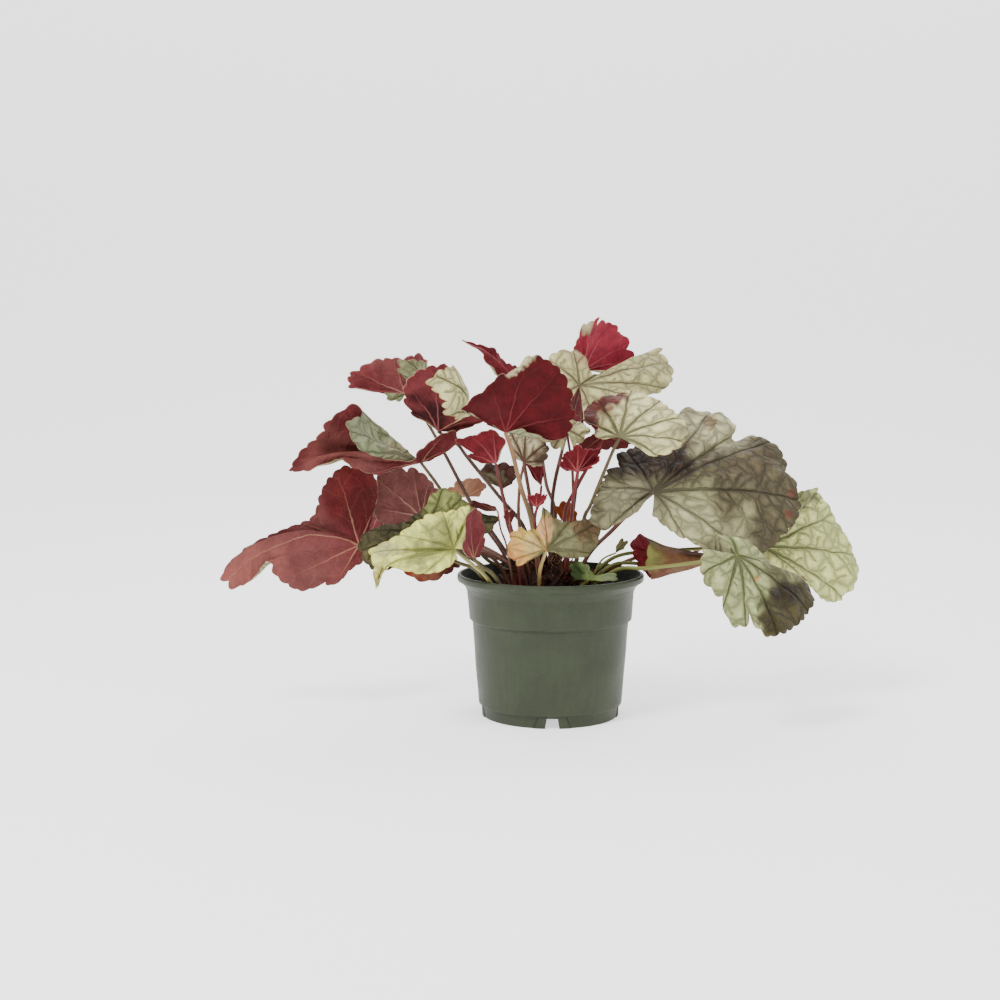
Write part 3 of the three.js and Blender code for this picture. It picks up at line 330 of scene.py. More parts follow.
            dict(tip=(57, 117, -8), via=(80, 107, -9)), dict(tip=(51, 111, -3), via=(80, 104, -5)),
            dict(tip=(53, 103, -2), via=(84, 100, -4)), dict(tip=(56, 96, -3), via=(84, 96, -6)),
            dict(tip=(64, 89, -10), via=(86, 93, -11)),
        ],
        foot=(22, 0),
        stalk=[(40, 97, 1), (62, 98, 5), (92, 100, 4)],
    ),
    dict(
        name="leaf_old",
        lean=(0.2, 0.4),
        hub=(-3, 106, -46),
        ribs=[
            (5, 104, -46), (14, 102, -44), (24, 103, -42), (30, 110, -40), (31, 120, -38),
            dict(tip=(27, 127, -38)), (16, 125, -42), dict(tip=(5, 126, -46)), (-2, 131, -48),
            dict(tip=(-6, 134, -50)), dict(tip=(-8, 124, -52)), (-13, 120, -50), (-20, 121, -48),
            (-26, 117, -48), (-28, 109, -52), dict(tip=(-28, 102, -56), cut=0.93), (-21, 96, -58),
            (-14, 100, -56), (-9, 104, -52),
        ],
        foot=(-8, -40),
        stalk=[(-7, 92, -44)],
    ),
    dict(
        name="leaf_back_right",
        lean=(0.3, -1.0),
        hub=(118, 138, 60),
        ribs=[
            (109, 113, 60), (97, 125, 62), (91, 145, 68), (97, 164, 76), (111, 173, 84),
            dict(tip=(127, 172, 88), cut=0.9), (142, 163, 88), (150, 148, 84),
            dict(tip=(149, 131, 76), cut=0.9), (140, 118, 68), (127, 112, 62),
        ],
        foot=(18, 16),
        stalk=[(56, 102, 26), (94, 106, 44)],
    ),
    dict(
        name="leaf_back_middle",
        lean=(0.2, -1.2),
        hub=(-3, 199, 92),
        ribs=[
            (-14, 188, 92), (-25, 194, 98), (-28, 206, 104), (-21, 218, 108),
            dict(tip=(-7, 222, 110), cut=0.9), (9, 220, 112), (24, 214, 112),
            dict(tip=(34, 204, 110), cut=0.9), (28, 192, 104), (12, 187, 96),
        ],
        foot=(0, 19),
        stalk=[(3, 129, 30), (-3, 150, 44), (-6, 178, 68)],
    ),
    dict(
        name="leaf_back_left",
        lean=(0.3, -1.0),
        hub=(-106, 134, 60),
        ribs=[
            (-101, 110, 62), (-122, 107, 64), dict(tip=(-138, 119, 70), cut=0.9), (-141, 134, 76),
            (-135, 148, 80), dict(tip=(-120, 154, 84), cut=0.9), (-104, 152, 84), (-89, 150, 80),
            (-79, 139, 72), (-81, 121, 64),
        ],
        foot=(-9, 19),
        stalk=[(-34, 104, 30), (-66, 118, 48)],
    ),
    dict(
        name="leaf_inner_silver",
        lean=(0.3, 0.6),
        hub=(-17, 163, -4),
        ribs=[
            (-11, 160, -6), (-5, 161, -8), dict(tip=(-2, 166, -8), cut=0.96), (-1, 172, -6),
            (-4, 177, -4), (-10, 182, -2), (-20, 187, 0), (-27, 186, 0), (-27, 179, -2),
            (-25, 172, -4), (-22, 165, -5),
        ],
        foot=(-13, -10),
        stalk=[(-20, 122, -10), (-20, 147, -10)],
        radius=1.3,
    ),
    dict(
        name="leaf_inner_right",
        lean=(0.3, 0.6),
        hub=(10, 184, 12),
        ribs=[
            (14, 171, 10), (20, 176, 10), (25, 183, 10), (20, 188, 14), (4, 191, 16), (-4, 184, 14),
            dict(tip=(-6, 177, 10), cut=0.95), dict(tip=(2, 172, 8), cut=0.96), (8, 170, 8),
        ],
        foot=(4, 6),
        stalk=[(13, 125, 9), (14, 155, 12)],
        radius=1.2,
    ),
    dict(
        name="leaf_inner_red",
        lean=(0.3, -0.5),
        hub=(-35, 162, 0),
        ribs=[
            (-44, 163, 2), dict(tip=(-53, 167, 6), cut=0.6), (-61, 177, 10), (-52, 180, 8),
            (-44, 183, 4), (-37, 184, 2), (-29, 177, -2), (-32, 169, -2),
        ],
        foot=(-14, -16),
        stalk=[(-25, 119, -13), (-28, 132, -11), (-32, 147, -7)],
        radius=1.4,
    ),
    dict(
        name="leaf_inner_olive",
        lean=(0.3, 0.5),
        hub=(-31, 146, 14),
        ribs=[
            (-25, 149, 12), (-22, 154, 12), (-23, 160, 14), dict(tip=(-30, 163, 16), cut=0.9),
            (-41, 162, 18), (-45, 157, 18), (-40, 150, 16),
        ],
        foot=(-12, 6),
        stalk=[(-27, 120, 10)],
        radius=1,
    ),
    dict(
        name="leaf_inner_pink",
        lean=(0.4, -0.6),
        hub=(-54, 141, 32),
        ribs=[
            (-60, 140, 32), dict(tip=(-66, 146, 34), cut=0.9), (-60, 151, 36), (-53, 153, 36),
            (-46, 153, 34), dict(tip=(-41, 148, 32)), (-46, 141, 30),
        ],
        foot=(-18, 14),
        stalk=[(-32, 107, 20), (-44, 124, 27)],
        radius=1.2,
    ),
    dict(
        name="leaf_inner_orange",
        lean=(0.3, -0.5),
        hub=(11, 123, 22),
        ribs=[
            (6, 128, 22), (3, 134, 24), (8, 138, 26), dict(tip=(13, 137, 26), cut=0.9), (17, 131, 26),
            (17, 125, 24),
        ],
        foot=(5, 15),
        stalk=[],
        radius=1.1,
    ),
    dict(
        name="leaf_young_crimson",
        lean=(0.3, -0.4),
        hub=(17, 157, -14),
        ribs=[
            dict(tip=(10, 157, -12), cut=0.9), dict(tip=(5, 162, -16), cut=0.9),
            dict(tip=(8, 169, -10), cut=0.85), dict(tip=(17, 175, -14), cut=0.8),
            dict(tip=(25, 172, -18), cut=0.85), dict(tip=(33, 173, -12), cut=0.85),
            dict(tip=(31, 165, -18), cut=0.9), dict(tip=(25, 160, -20), cut=0.9), (22, 156, -16),
        ],
        foot=(8, -10),
        stalk=[(13, 125, -12), (14, 138, -13)],
        radius=1.2,
    ),
    dict(
        name="leaf_young_bud",
        lean=(0.8, 0),
        hub=(-6, 148, 8),
        ribs=[
            (-12, 156, 9), (-17, 164, 11), dict(tip=(-12, 163, 8), cut=0.9), (-6, 163, 6),
            (-4, 156, 7),
        ],
        foot=(-3, 7),
        stalk=[(-10, 125, 6), (-7, 138, 7)],
        radius=1.1,
    ),
    dict(
        name="leaf_young_star",
        hub=(-9, 134, -26),
        ribs=[
            (-14, 137, -27), dict(tip=(-15, 142, -27), cut=0.85), dict(tip=(-9, 144, -26), cut=0.85),
            (-2, 143, -26), (-4, 137, -26),
        ],
        foot=(-7, -24),
        stalk=[(-10, 118, -26)],
        radius=0.9,
    ),
    dict(
        name="bract_red",
        hub=(-26, 122, -22),
        ribs=[
            (-30, 128, -24), (-29, 133, -24), (-24, 133, -22), (-23, 128, -20),
        ],
        foot=(-19, -24),
        stalk=[(-22, 108, -24)],
        radius=0.9,
    ),
    dict(
        name="bract_olive",
        hub=(42, 105, -2),
        ribs=[
            (42, 109, -2), (46, 114, -3), (50, 112, -2), (47, 107, -1),
        ],
        foot=(24, -5),
        stalk=[(32, 99, -3)],
        radius=0.8,
    ),
    dict(
        name="bract_dark",
        hub=(-34, 132, -28),
        ribs=[
            (-42, 132, -29), (-51, 136, -30), (-50, 139, -29), (-42, 137, -27), (-35, 135, -26),
        ],
        foot=(-23, -30),
        stalk=[(-28, 108, -29), (-32, 120, -28)],
        radius=0.8,
    ),
    dict(
        name="bract_green",
        hub=(24, 87, -30),
        ribs=[
            (33, 86, -30), (43, 87, -26), (42, 91, -24), dict(tip=(32, 90, -27), cut=0.9),
            (27, 92, -27), (24, 97, -24), (18, 99, -22), (13, 97, -22), (13, 91, -26), (16, 87, -29),
        ],
        foot=(12, -26),
        stalk=[],
        radius=1.6,
    ),
]

# ---- Colours and veins of each leaf ---------------------------------------------------------------------

# tissue, shade and vein, as sRGB 0 to 255.
PALETTES = {
    "cream": ((220, 213, 150), (188, 180, 124), (98, 86, 64)),
    "pale_silver": ((242, 234, 170), (216, 208, 146), (92, 88, 58)),
    "mottled": ((212, 204, 160), (166, 152, 116), (78, 44, 36)),
    "silver": ((188, 186, 145), (153, 154, 114), (86, 90, 59)),
    "brown_silver": ((108, 100, 73), (80, 70, 49), (48, 44, 24)),
    "pale_green": ((180, 183, 136), (146, 152, 104), (98, 106, 58)),
    "lime": ((252, 254, 140), (234, 238, 122), (112, 120, 58)),
    "dark_olive": ((107, 112, 70), (74, 80, 43), (63, 66, 33)),
    "pale_lime": ((226, 230, 144), (192, 198, 124), (98, 104, 62)),
    "umber": ((97, 90, 56), (60, 56, 30), (42, 38, 19)),
    "silver_green": ((190, 196, 138), (158, 164, 110), (78, 84, 46)),
    "burgundy": ((100, 38, 41), (73, 25, 28), (152, 104, 84)),
    "pink_burgundy": ((114, 56, 56), (87, 34, 37), (151, 112, 87)),
    "rose_burgundy": ((151, 86, 86), (119, 62, 65), (178, 122, 112)),
    "mid_burgundy": ((120, 50, 54), (90, 36, 39), (152, 88, 84)),
    "dusty_burgundy": ((117, 69, 66), (88, 48, 46), (166, 122, 106)),
    "garnet": ((114, 32, 38), (72, 13, 22), (156, 84, 84)),
    "wine": ((80, 12, 18), (55, 8, 12), (112, 46, 46)),
    "crimson": ((150, 42, 58), (108, 26, 40), (176, 96, 100)),
    "maroon": ((64, 23, 22), (41, 13, 12), (101, 59, 45)),
    "rose": ((188, 138, 108), (150, 96, 78), (206, 166, 130)),
    "orange": ((159, 77, 39), (115, 50, 28), (177, 110, 65)),
    "sage": ((118, 116, 78), (92, 88, 56), (80, 72, 46)),
    "straw": ((104, 104, 58), (88, 76, 46), (72, 52, 32)),
    "leaf_green": ((143, 163, 93), (108, 127, 70), (158, 174, 112)),
}

# At the ground and at the blade.
PETIOLES = {
    "peach": ((122, 104, 62), (148, 104, 72)),
    "maroon": ((84, 42, 34), (100, 34, 34)),
    "dark": ((58, 38, 26), (86, 54, 40)),
    "brown": ((96, 64, 44), (112, 62, 48)),
    "olive": ((96, 86, 50), (82, 66, 42)),
    "straw": ((150, 146, 84), (160, 150, 92)),
    "gold": ((168, 138, 82), (188, 160, 98)),
    "olive_tan": ((74, 70, 34), (90, 80, 42)),
    "green": ((110, 114, 50), (124, 126, 56)),
    "red": ((98, 38, 30), (120, 28, 36)),
}

# veins: where round the margin each main vein ends. paint: side, across, up, radius, colour, strength and,
# where it matters, the part of the margin it keeps to. Most spots are the leaf's own colours; painted shade
# is marked.
LOOKS = {
    "leaf_left_low": dict(
        top="silver", under="burgundy", stalk="brown", veins=(2, 4, 8.7, 12.6, 15.6, 18.2),
        paint=(
            ("under", -165, 92, 44, (115, 65, 62), 0.85),
            ("under", -200, 92, 30, (136, 78, 71), 0.85),
            ("under", -128, 92, 22, (112, 55, 53), 0.7),
            ("under", -132, 150, 22, (94, 21, 22), 0.85),
            ("under", -118, 130, 22, (68, 14, 14), 0.85),
        ),
    ),
    "leaf_left_mid": dict(
        top="pale_green", under="burgundy", stalk="olive", veins=(1.3, 3, 5, 9.2, 12.5, 14.2, 18.3, 21),
        paint=(
            ("under", -140, 162, 34, (116, 63, 58), 0.75),
            ("under", -118, 158, 16, (127, 74, 70), 0.7),
            ("top", -112, 180, 40, (146, 150, 116), 0.85),
            ("top", -96, 170, 10, (184, 170, 132), 0.8),
        ),
    ),
    "leaf_left_back": dict(
        top="silver", under="dusty_burgundy", stalk="brown", veins=(0.6, 2.2, 3.8, 6, 7.4),
    ),
    "leaf_left_front": dict(
        top="lime", under="maroon", stalk="straw", veins=(2.5, 4.4, 6.3, 8.3, 11.3, 14.3, 16),
        faint=0.6, relief=0.8,
        paint=(
            ("top", -70, 116, 15, (145, 146, 89), 0.8),
            ("top", -84, 104, 12, (147, 146, 92), 0.7),
            ("top", -112, 90, 8, (139, 119, 79), 0.7),
            ("top", -106, 108, 10, (214, 208, 150), 0.8),
        ),
    ),
    "leaf_left_shade": dict(
        top="umber", under="maroon", stalk="olive_tan", veins=(1.7, 4.5, 6, 8.5, 10.6, 12.4, 14.2),
        paint=(("top", -68, 138, 24, (152, 158, 88), 0.95), ("top", -112, 104, 12, (119, 108, 63), 0.6)),
    ),
    "leaf_left_edge": dict(
        top="silver", under="pink_burgundy", stalk="olive_tan", veins=(1.6, 3.7, 6.2),
        paint=(("under", -50, 116, 13, (108, 44, 50), 0.85),),
    ),
    "leaf_left_under": dict(
        top="silver", under="maroon", stalk="olive_tan", veins=(1.6, 3.6, 5.2, 7.2),
        paint=(
            ("under", -92, 92, 12, (135, 47, 26), 0.9),
            ("under", -78, 90, 12, (143, 90, 67), 0.7),
        ),
    ),
    "leaf_top_left": dict(
        top="silver", under="rose_burgundy", stalk="dark", veins=(1.2, 5.3, 8.3, 10.8, 13.3, 15.4, 17.2),
        paint=(
            ("under", -122, 216, 20, (123, 47, 51), 0.7),
            ("under", -104, 212, 22, (107, 42, 44), 0.5),
        ),
    ),
    "leaf_upper_left": dict(
        top="pale_silver", under="mid_burgundy", stalk="dark", veins=(1.2, 3.4, 6, 9.4, 12.3, 14.6),
        # The near-black spot is painted shade, where the lower lobes lie in a hollow.
        paint=(("under", -66, 188, 16, (93, 43, 38), 0.6), ("under", -79, 192, 16, (50, 15, 19), 0.95)),
    ),
    "leaf_centre": dict(
        top="silver", under="wine", stalk="peach", veins=(1.7, 4.2, 7.2, 10.3, 13.2, 16),
        paint=(
            ("under", -40, 196, 14, (88, 29, 33), 0.5),
            ("under", -14, 231, 4.3, (204, 194, 150), 0.97),
            ("under", -18, 228, 4.3, (204, 194, 150), 0.97),
            ("under", -22, 224.5, 4.3, (204, 194, 150), 0.97),
            ("under", -26, 221, 3.9, (196, 186, 144), 0.97),
        ),
    ),
    "leaf_top_point": dict(top="silver", under="garnet", stalk="brown", veins=(2.8, 5, 7.2)),
    "leaf_crest": dict(
        top="cream", under="crimson", stalk="brown", veins=(0.6, 2.4, 4.6, 6.2, 7.7, 9.6), relief=0.9,
        paint=(("under", 24, 250, 6.5, (200, 194, 150), 0.97, (0, 2.4)),),
    ),
    "leaf_top_right": dict(
        top="cream", under="burgundy", stalk="brown", veins=(0.5, 2.4, 4.4, 6.6, 9, 12.4, 15.3, 17.2, 19.3),
        bold=0.8,
        paint=(
            ("top", 66, 218, 18, (192, 184, 126), 0.7),
            ("top", 30, 213, 8, (236, 228, 164), 0.7),
            ("top", 20, 232, 9, (176, 136, 104), 0.6),
        ),
    ),
    "leaf_upper_right": dict(
        top="pale_silver", under="wine", stalk="olive", veins=(1.4, 3.4, 5.2, 7, 8.8, 10.8, 13, 15.4),
        bold=1.15,
        paint=(
            ("top", 32, 193, 11, (142, 112, 80), 0.6),
            ("top", 22, 189, 11, (84, 8, 14), 0.97, (11.2, 17)),
            ("top", 27, 198, 8, (104, 10, 18), 0.97),
            ("top", 35, 203, 8, (104, 10, 18), 0.97),
            ("top", 43, 206, 7, (104, 10, 18), 0.97),
            ("top", 84, 182, 7, (111, 100, 68), 0.6),
        ),
    ),
    "leaf_red_band": dict(top="silver", under="burgundy", stalk="red", veins=(1.3, 4.3)),
    "leaf_right": dict(
        top="brown_silver", under="burgundy", stalk="brown", bold=1.25,
        veins=(2.4, 5.7, 9.25, 12.2, 14.4, 16.6, 20.2, 23.3, 26.2),
        paint=(
            # The first two spots are painted shadow, where leaf_upper_right lies over this lobe.
            ("top", 52, 168, 28, (48, 32, 20), 0.95),
            ("top", 64, 156, 20, (44, 28, 12), 0.9),
            ("top", 74, 160, 26, (111, 84, 63), 0.6),
            ("top", 106, 188, 27, (206, 200, 150), 0.92),
            ("top", 84, 166, 14, (74, 56, 42), 0.8),
            ("top", 90, 176, 8, (172, 164, 122), 0.7),
            ("top", 88, 120, 38, (208, 204, 150), 0.9),
            ("top", 46, 134, 26, (170, 164, 124), 0.85),
            ("top", 154, 143, 3.5, (122, 62, 44), 0.8),
            ("top", 153, 130, 3.5, (122, 62, 44), 0.8),
            ("top", 101, 189, 6, (128, 92, 60), 0.75),
            ("top", 130, 168, 16, (92, 72, 50), 0.5),
        ),
    ),
    "leaf_right_low": dict(
        top="silver_green", under="maroon", stalk="green", veins=(1.4, 3.8, 6, 8.6, 10.4, 12.4, 16.4),
        bold=1.15, relief=0.8,
        paint=(
            ("top", 158, 71, 25, (66, 54, 22), 0.98, (7.2, 13.9)),
            ("top", 146, 58, 16, (70, 58, 24), 0.95, (7.2, 13.9)),
            ("top", 150, 80, 12, (40, 28, 10), 0.85, (7.6, 13.6)),
            ("top", 160, 62, 16, (84, 76, 42), 0.7, (7.6, 13.6)),
            ("top", 145, 93, 12, (110, 104, 70), 0.7),
            ("top", 133, 88, 2.1, (222, 160, 92), 0.95),
        ),
    ),
    "leaf_far_right": dict(
        top="pale_lime", under="burgundy", stalk="green", veins=(3.5, 5.2, 7.6, 9.6, 11.5, 14), bold=0.95,
        paint=(("top", 164, 142, 10, (89, 87, 58), 0.7),),
    ),
    "leaf_right_rolled": dict(
        top="crimson", under="straw", stalk="green", veins=(1, 3, 5, 7), faint=0.4,
        paint=(
            ("under", 84, 100, 20, (110, 66, 50), 0.75),
            ("under", 60, 102, 10, (118, 116, 60), 0.8),
            ("under", 72, 88, 10, (91, 50, 38), 0.8),
            ("top", 62, 100, 30, (139, 27, 31), 0.8),
        ),
    ),
    "leaf_old": dict(
        top="sage", under="sage", stalk="gold", veins=(2.3, 4.4, 6.4, 8.8, 11, 13.2, 15.4, 17),
        faint=0.65, relief=1.1, ruffle=1.6,
        paint=(
            ("top", -18, 108, 24, (238, 182, 98), 0.97, (7.9, 19)),
            ("top", -15, 119, 9, (226, 190, 92), 0.8, (9.6, 14.2)),
            ("top", -28, 100, 9, (214, 120, 72), 0.6, (9.6, 19)),
            ("top", -34, 112, 7, (208, 124, 78), 0.6, (9.6, 19)),
            ("top", 24, 122, 12, (110, 84, 56), 0.85, (0, 7.6)),
            ("top", 10, 112, 9, (150, 150, 106), 0.7, (0, 7.6)),
            ("top", -5, 120, 9, (230, 176, 120), 0.95, (7.2, 10.4)),
            ("top", -11, 110, 8, (250, 220, 142), 0.9, (7.9, 19)),
        ),
    ),
    "leaf_back_right": dict(top="silver", under="burgundy", stalk="brown", veins=(1, 3, 5, 7, 9)),
    "leaf_back_middle": dict(top="silver", under="burgundy", stalk="brown", veins=(1, 2.8, 4.6, 6.4, 8.2)),
    "leaf_back_left": dict(top="silver", under="burgundy", stalk="brown", veins=(1, 2.8, 4.6, 6.4, 8.2)),
    "leaf_inner_silver": dict(
        top="mottled", under="wine", stalk="brown", veins=(1.4, 3.6, 5.6, 7.4, 9),
        paint=(("top", -4, 167, 8.5, (85, 46, 36), 0.85),),
    ),
    "leaf_inner_right": dict(
        top="cream", under="wine", stalk="brown", veins=(1.2, 3.2, 5, 7),
        paint=(("top", 3, 176, 8, (102, 87, 60), 0.6),),
    ),
    "leaf_inner_red": dict(top="silver", under="garnet", stalk="maroon", veins=(1.2, 3.2, 5)),
    "leaf_inner_olive": dict(
        top="maroon", under="maroon", stalk="brown", veins=(1.4, 3.4, 5),
        paint=(("top", -36, 150, 9, (150, 146, 108), 0.85),),
    ),
    "leaf_inner_pink": dict(top="silver", under="rose", stalk="brown", veins=(1, 3, 5)),
    "leaf_inner_orange": dict(top="orange", under="orange", stalk="brown", veins=(1.4, 3.4)),
    "leaf_young_crimson": dict(
        top="crimson", under="garnet", stalk="red", veins=(0.6, 2, 3, 4, 5, 6.4),
        pitch=2.6, ruffle=3.0, relief=0.9,
    ),
    "leaf_young_bud": dict(top="crimson", under="garnet", stalk="red", veins=(1.4, 3), pitch=2.6, ruffle=2.0),
    "leaf_young_star": dict(
        top="crimson", under="garnet", stalk="red", veins=(0.7, 2, 3.2), pitch=2.6, ruffle=2.0,
    ),
    "bract_red": dict(top="crimson", under="burgundy", stalk="red", veins=(1.5,)),
    "bract_olive": dict(top="sage", under="sage", stalk="green", veins=(1.5,)),
    "bract_dark": dict(top="dark_olive", under="maroon", stalk="brown", veins=(1.8, 3)),
    "bract_green": dict(
        top="leaf_green", under="leaf_green", stalk="green", veins=(1.6, 4.5, 7), faint=0.12, ruffle=1.3,
        paint=tuple(
            (side, *spot)
            for side in ("top", "under")
            for spot in (
                # The dark spot is painted shade at the edge and the small light one a painted highlight,
                # standing for the plump bract's curve.
                (16, 92, 8, (66, 88, 44), 0.85),
                (24, 96, 5, (134, 156, 100), 0.7),
                (40, 88, 10, (122, 134, 100), 0.8),
            )
        ),
    ),
}

# ---- Small helpers --------------------------------------------------------------------------------------


def linear(colour):
    """An sRGB colour, 0 to 255, as linear values."""
    c = np.asarray(colour, float) / 255
    return np.where(c <= 0.04045, c / 12.92, ((c + 0.055) / 1.055) ** 2.4)


def unit(vectors):
    """Vectors at a length of one."""
    return vectors / np.maximum(np.linalg.norm(vectors, axis=-1, keepdims=True), 1e-9)


def smooth(value, low, high):
    """A soft step from 0 at low to 1 at high."""
    x = np.clip((value - low) / (high - low), 0, 1)
    return x * x * (3 - 2 * x)


def waves(x, y, size, seed):
    """Gentle noise of about -1 to 1 over a plane: a few sines of about the given wavelength."""
    dice = np.random.default_rng(seed)
    total = 0
    for _ in range(6):
        turn = dice.uniform(0, 2 * math.pi)
        step = 2 * math.pi / (size * dice.uniform(0.7, 1.6))
        along = x * math.cos(turn) + y * math.sin(turn)
        total = total + np.sin(step * along + dice.uniform(0, 2 * math.pi))
    return total / 3.2


def place(points):
    """Points of the elevation, moved along the eye's lines of sight to their depths."""
    p = np.atleast_2d(np.asarray(points, float))
    reach = (p[:, 2] - EYE[1]) / -EYE[1]
    flat = np.stack([p[:, 0], np.zeros(len(p)), p[:, 1]], 1)
    return (flat - EYE) * reach[:, None] + EYE


def place_on(leaf, points):
    """Points of a leaf's blade, leant with it."""
    p = np.atleast_2d(np.asarray(points, float)).copy()
    across, up = leaf.get("lean", (0, 0))
    p[:, 2] += across * (p[:, 0] - leaf["hub"][0]) + up * (p[:, 1] - leaf["hub"][1])
    return place(p)


def elevation(points):
    """Where points in space lie in the elevation, as across and up."""
    ray = points - EYE
    at = EYE + ray * (-EYE[1] / ray[:, 1])[:, None]
    return at[:, [0, 2]]


def through(points, s):
    """Catmull-Rom through a list of points, with mirrored ghosts at its ends."""
    first = 2 * points[0] - points[1]
    final = 2 * points[-1] - points[-2]
    all_points = np.vstack([first, points, final])
    k = np.clip(np.floor(s), 0, len(points) - 2).astype(int)
    u = (s - k)[:, None]
    a, b, c, d = all_points[k], all_points[k + 1], all_points[k + 2], all_points[k + 3]
    return 0.5 * (2 * b + (c - a) * u + (2 * a - 5 * b + 4 * c - d) * u**2 + (3 * b - a - 3 * c + d) * u**3)


# ---- Blades ---------------------------------------------------------------------------------------------


def ribs_of(leaf, pitch):
    """Hub, tips and halfway points of a leaf's ribs, with the lobes of its margin."""
    hub = place(leaf["hub"])[0]
    ribs = [rib if isinstance(rib, dict) else dict(tip=rib) for rib in leaf["ribs"]]
    tips = place_on(leaf, [rib["tip"] for rib in ribs])
    up = unit(np.cross(tips[:-1] - hub, tips[1:] - hub).sum(0))
    vias = (tips + hub) / 2 + up * BLADE["arch"] * np.linalg.norm(tips - hub, axis=1)[:, None]
    for k, rib in enumerate(ribs):
        if "via" in rib:
            vias[k] = place_on(leaf, rib["via"])[0]
    cuts = np.array([rib.get("cut", BLADE["cut"]) for rib in ribs])
    lengths = np.linalg.norm(tips[1:] - tips[:-1], axis=1)
    lobes = np.maximum(1, np.round(lengths / pitch))
    return dict(hub=hub, tips=tips, vias=vias, cuts=cuts, lobes=lobes)


def blade_points(ribs, s, t):
    """Points of the blade: s runs along the margin from rib to rib, and t from the hub to the margin."""
    tips = ribs["tips"]
    k = np.clip(np.floor(s), 0, len(tips) - 2).astype(int)
    u = s - k
    tip = through(tips, s)
    via = through(ribs["vias"], s)
    reach = np.linalg.norm(tip - ribs["hub"], axis=1)
    notch = (1 - ribs["cuts"][k]) * (1 - np.abs(2 * u - 1)) ** 2
    teeth = 1 - np.abs(np.cos(math.pi * ribs["lobes"][k] * u)) ** 0.8
    depth = np.minimum(0.15, BLADE["tooth_depth"] / reach) * (1 + 0.35 * np.sin(5.1 * s))
    tau = (t * (1 - notch) * (1 - depth * teeth))[:, None]
    bend = 2 * via - ribs["hub"] / 2 - tip / 2
    return ribs["hub"] * (1 - tau) ** 2 + bend * 2 * tau * (1 - tau) + tip * tau**2


def flat_angles(ribs, fine):
    """The blade's angle from its first edge, as if laid flat, at each fine step along the margin."""
    rays = unit(blade_points(ribs, fine, np.full(len(fine), 0.5)) - ribs["hub"])
    turns = np.arccos(np.clip((rays[1:] * rays[:-1]).sum(1), -1, 1))
    return np.concatenate([[0], np.cumsum(turns + 1e-6)])


def stitch(inner, outer, faces):
    """Joins two rows of points side by side, each a list of (s, index), into triangles."""
    i = j = 0
    while i < len(inner) - 1 or j < len(outer) - 1:
        if i == len(inner) - 1 or (j < len(outer) - 1 and outer[j + 1][0] <= inner[i + 1][0]):
            faces.append((inner[i][1], outer[j][1], outer[j + 1][1]))
            j += 1
        else:
            faces.append((inner[i][1], outer[j][1], inner[i + 1][1]))
            i += 1


def blade_grid(ribs, veins):
    """Rings of points round the hub, with an edge along each main vein and between each two veins."""
    last = len(ribs["tips"]) - 1
    fine = np.linspace(0, last, last * 24 + 1)
    theta = flat_angles(ribs, fine)
    vein_theta = np.interp(veins, fine, theta)
    middles = np.interp((vein_theta[1:] + vein_theta[:-1]) / 2, theta, fine)
    marks = np.sort(np.concatenate([[0], veins, middles, [last]]))
    owner = [i // 2 for i in range(len(marks) - 1)]
    reach = np.linalg.norm(through(ribs["tips"], fine) - ribs["hub"], axis=1)
    rings = max(6, int(round(0.8 * reach.max() / BLADE["spacing"])))
    s_all, t_all, faces, owners = [0.0], [0.0], [], []
    before = None
    edges = [[0], [0]]
    for ring in range(1, rings + 1):
        t = ring / rings
        along = blade_points(ribs, fine, np.full(len(fine), t))
        run = np.concatenate([[0], np.cumsum(np.linalg.norm(along[1:] - along[:-1], axis=1) + 1e-9)])
        ends = np.interp(marks, fine, run)
        rows = []
        corner = len(s_all)
        s_all.append(0.0)
        t_all.append(t)
        for b in range(len(marks) - 1):
            count = max(1, int(round((ends[b + 1] - ends[b]) / BLADE["spacing"])))
            steps = np.interp(np.linspace(ends[b], ends[b + 1], count + 1), run, fine)
            row = [(marks[b], corner)]
            for step in steps[1:-1]:
                row.append((step, len(s_all)))
                s_all.append(step)
                t_all.append(t)
            corner = len(s_all)
            row.append((marks[b + 1], corner))
            s_all.append(marks[b + 1])
            t_all.append(t)
            rows.append(row)
        for b, row in enumerate(rows):
            start = len(faces)
            if before is None:
                faces.extend((0, row[i][1], row[i + 1][1]) for i in range(len(row) - 1))
            else:
                stitch(before[b], row, faces)
            owners.extend([owner[b]] * (len(faces) - start))
        edges[0].append(rows[0][0][1])
        edges[1].append(rows[-1][-1][1])
        before = rows
    margin = [before[0][0][1]] + [index for row in before for _, index in row[1:]]
    loop = edges[0][:-1] + margin + edges[1][1:-1][::-1]
    return dict(
        s=np.array(s_all), t=np.array(t_all), faces=np.array(faces), owners=np.array(owners), loop=loop,
        fine=fine, theta=theta, vein_theta=vein_theta,
    )


def grid_faces(rows, columns, closed=True):
    """Triangles between rows of points that follow one another, closed into rings or left open as a sheet."""
    width = columns if closed else columns - 1
    row, k = np.divmod(np.arange((rows - 1) * width), width)
    a = row * columns + k
    b = row * columns + (k + 1) % columns
    return np.stack([a, b, b + columns, a, b + columns, a + columns], 1).reshape(-1, 3)


def dome_faces(rings, sides):
    """Triangles of rings of points that end in one middle point."""
    k = np.arange(sides)
    last = (rings - 1) * sides
    cap = np.stack([last + k, last + (k + 1) % sides, np.full(sides, rings * sides)], 1)
    return np.vstack([grid_faces(rings, sides), cap])


def vertex_normals(points, faces):
    """Unit normals at the points, the larger triangles counting for more."""
    normals = np.zeros_like(points)
    face = np.cross(points[faces[:, 1]] - points[faces[:, 0]], points[faces[:, 2]] - points[faces[:, 0]])
    for i in range(3):
        np.add.at(normals, faces[:, i], face)
    return unit(normals)


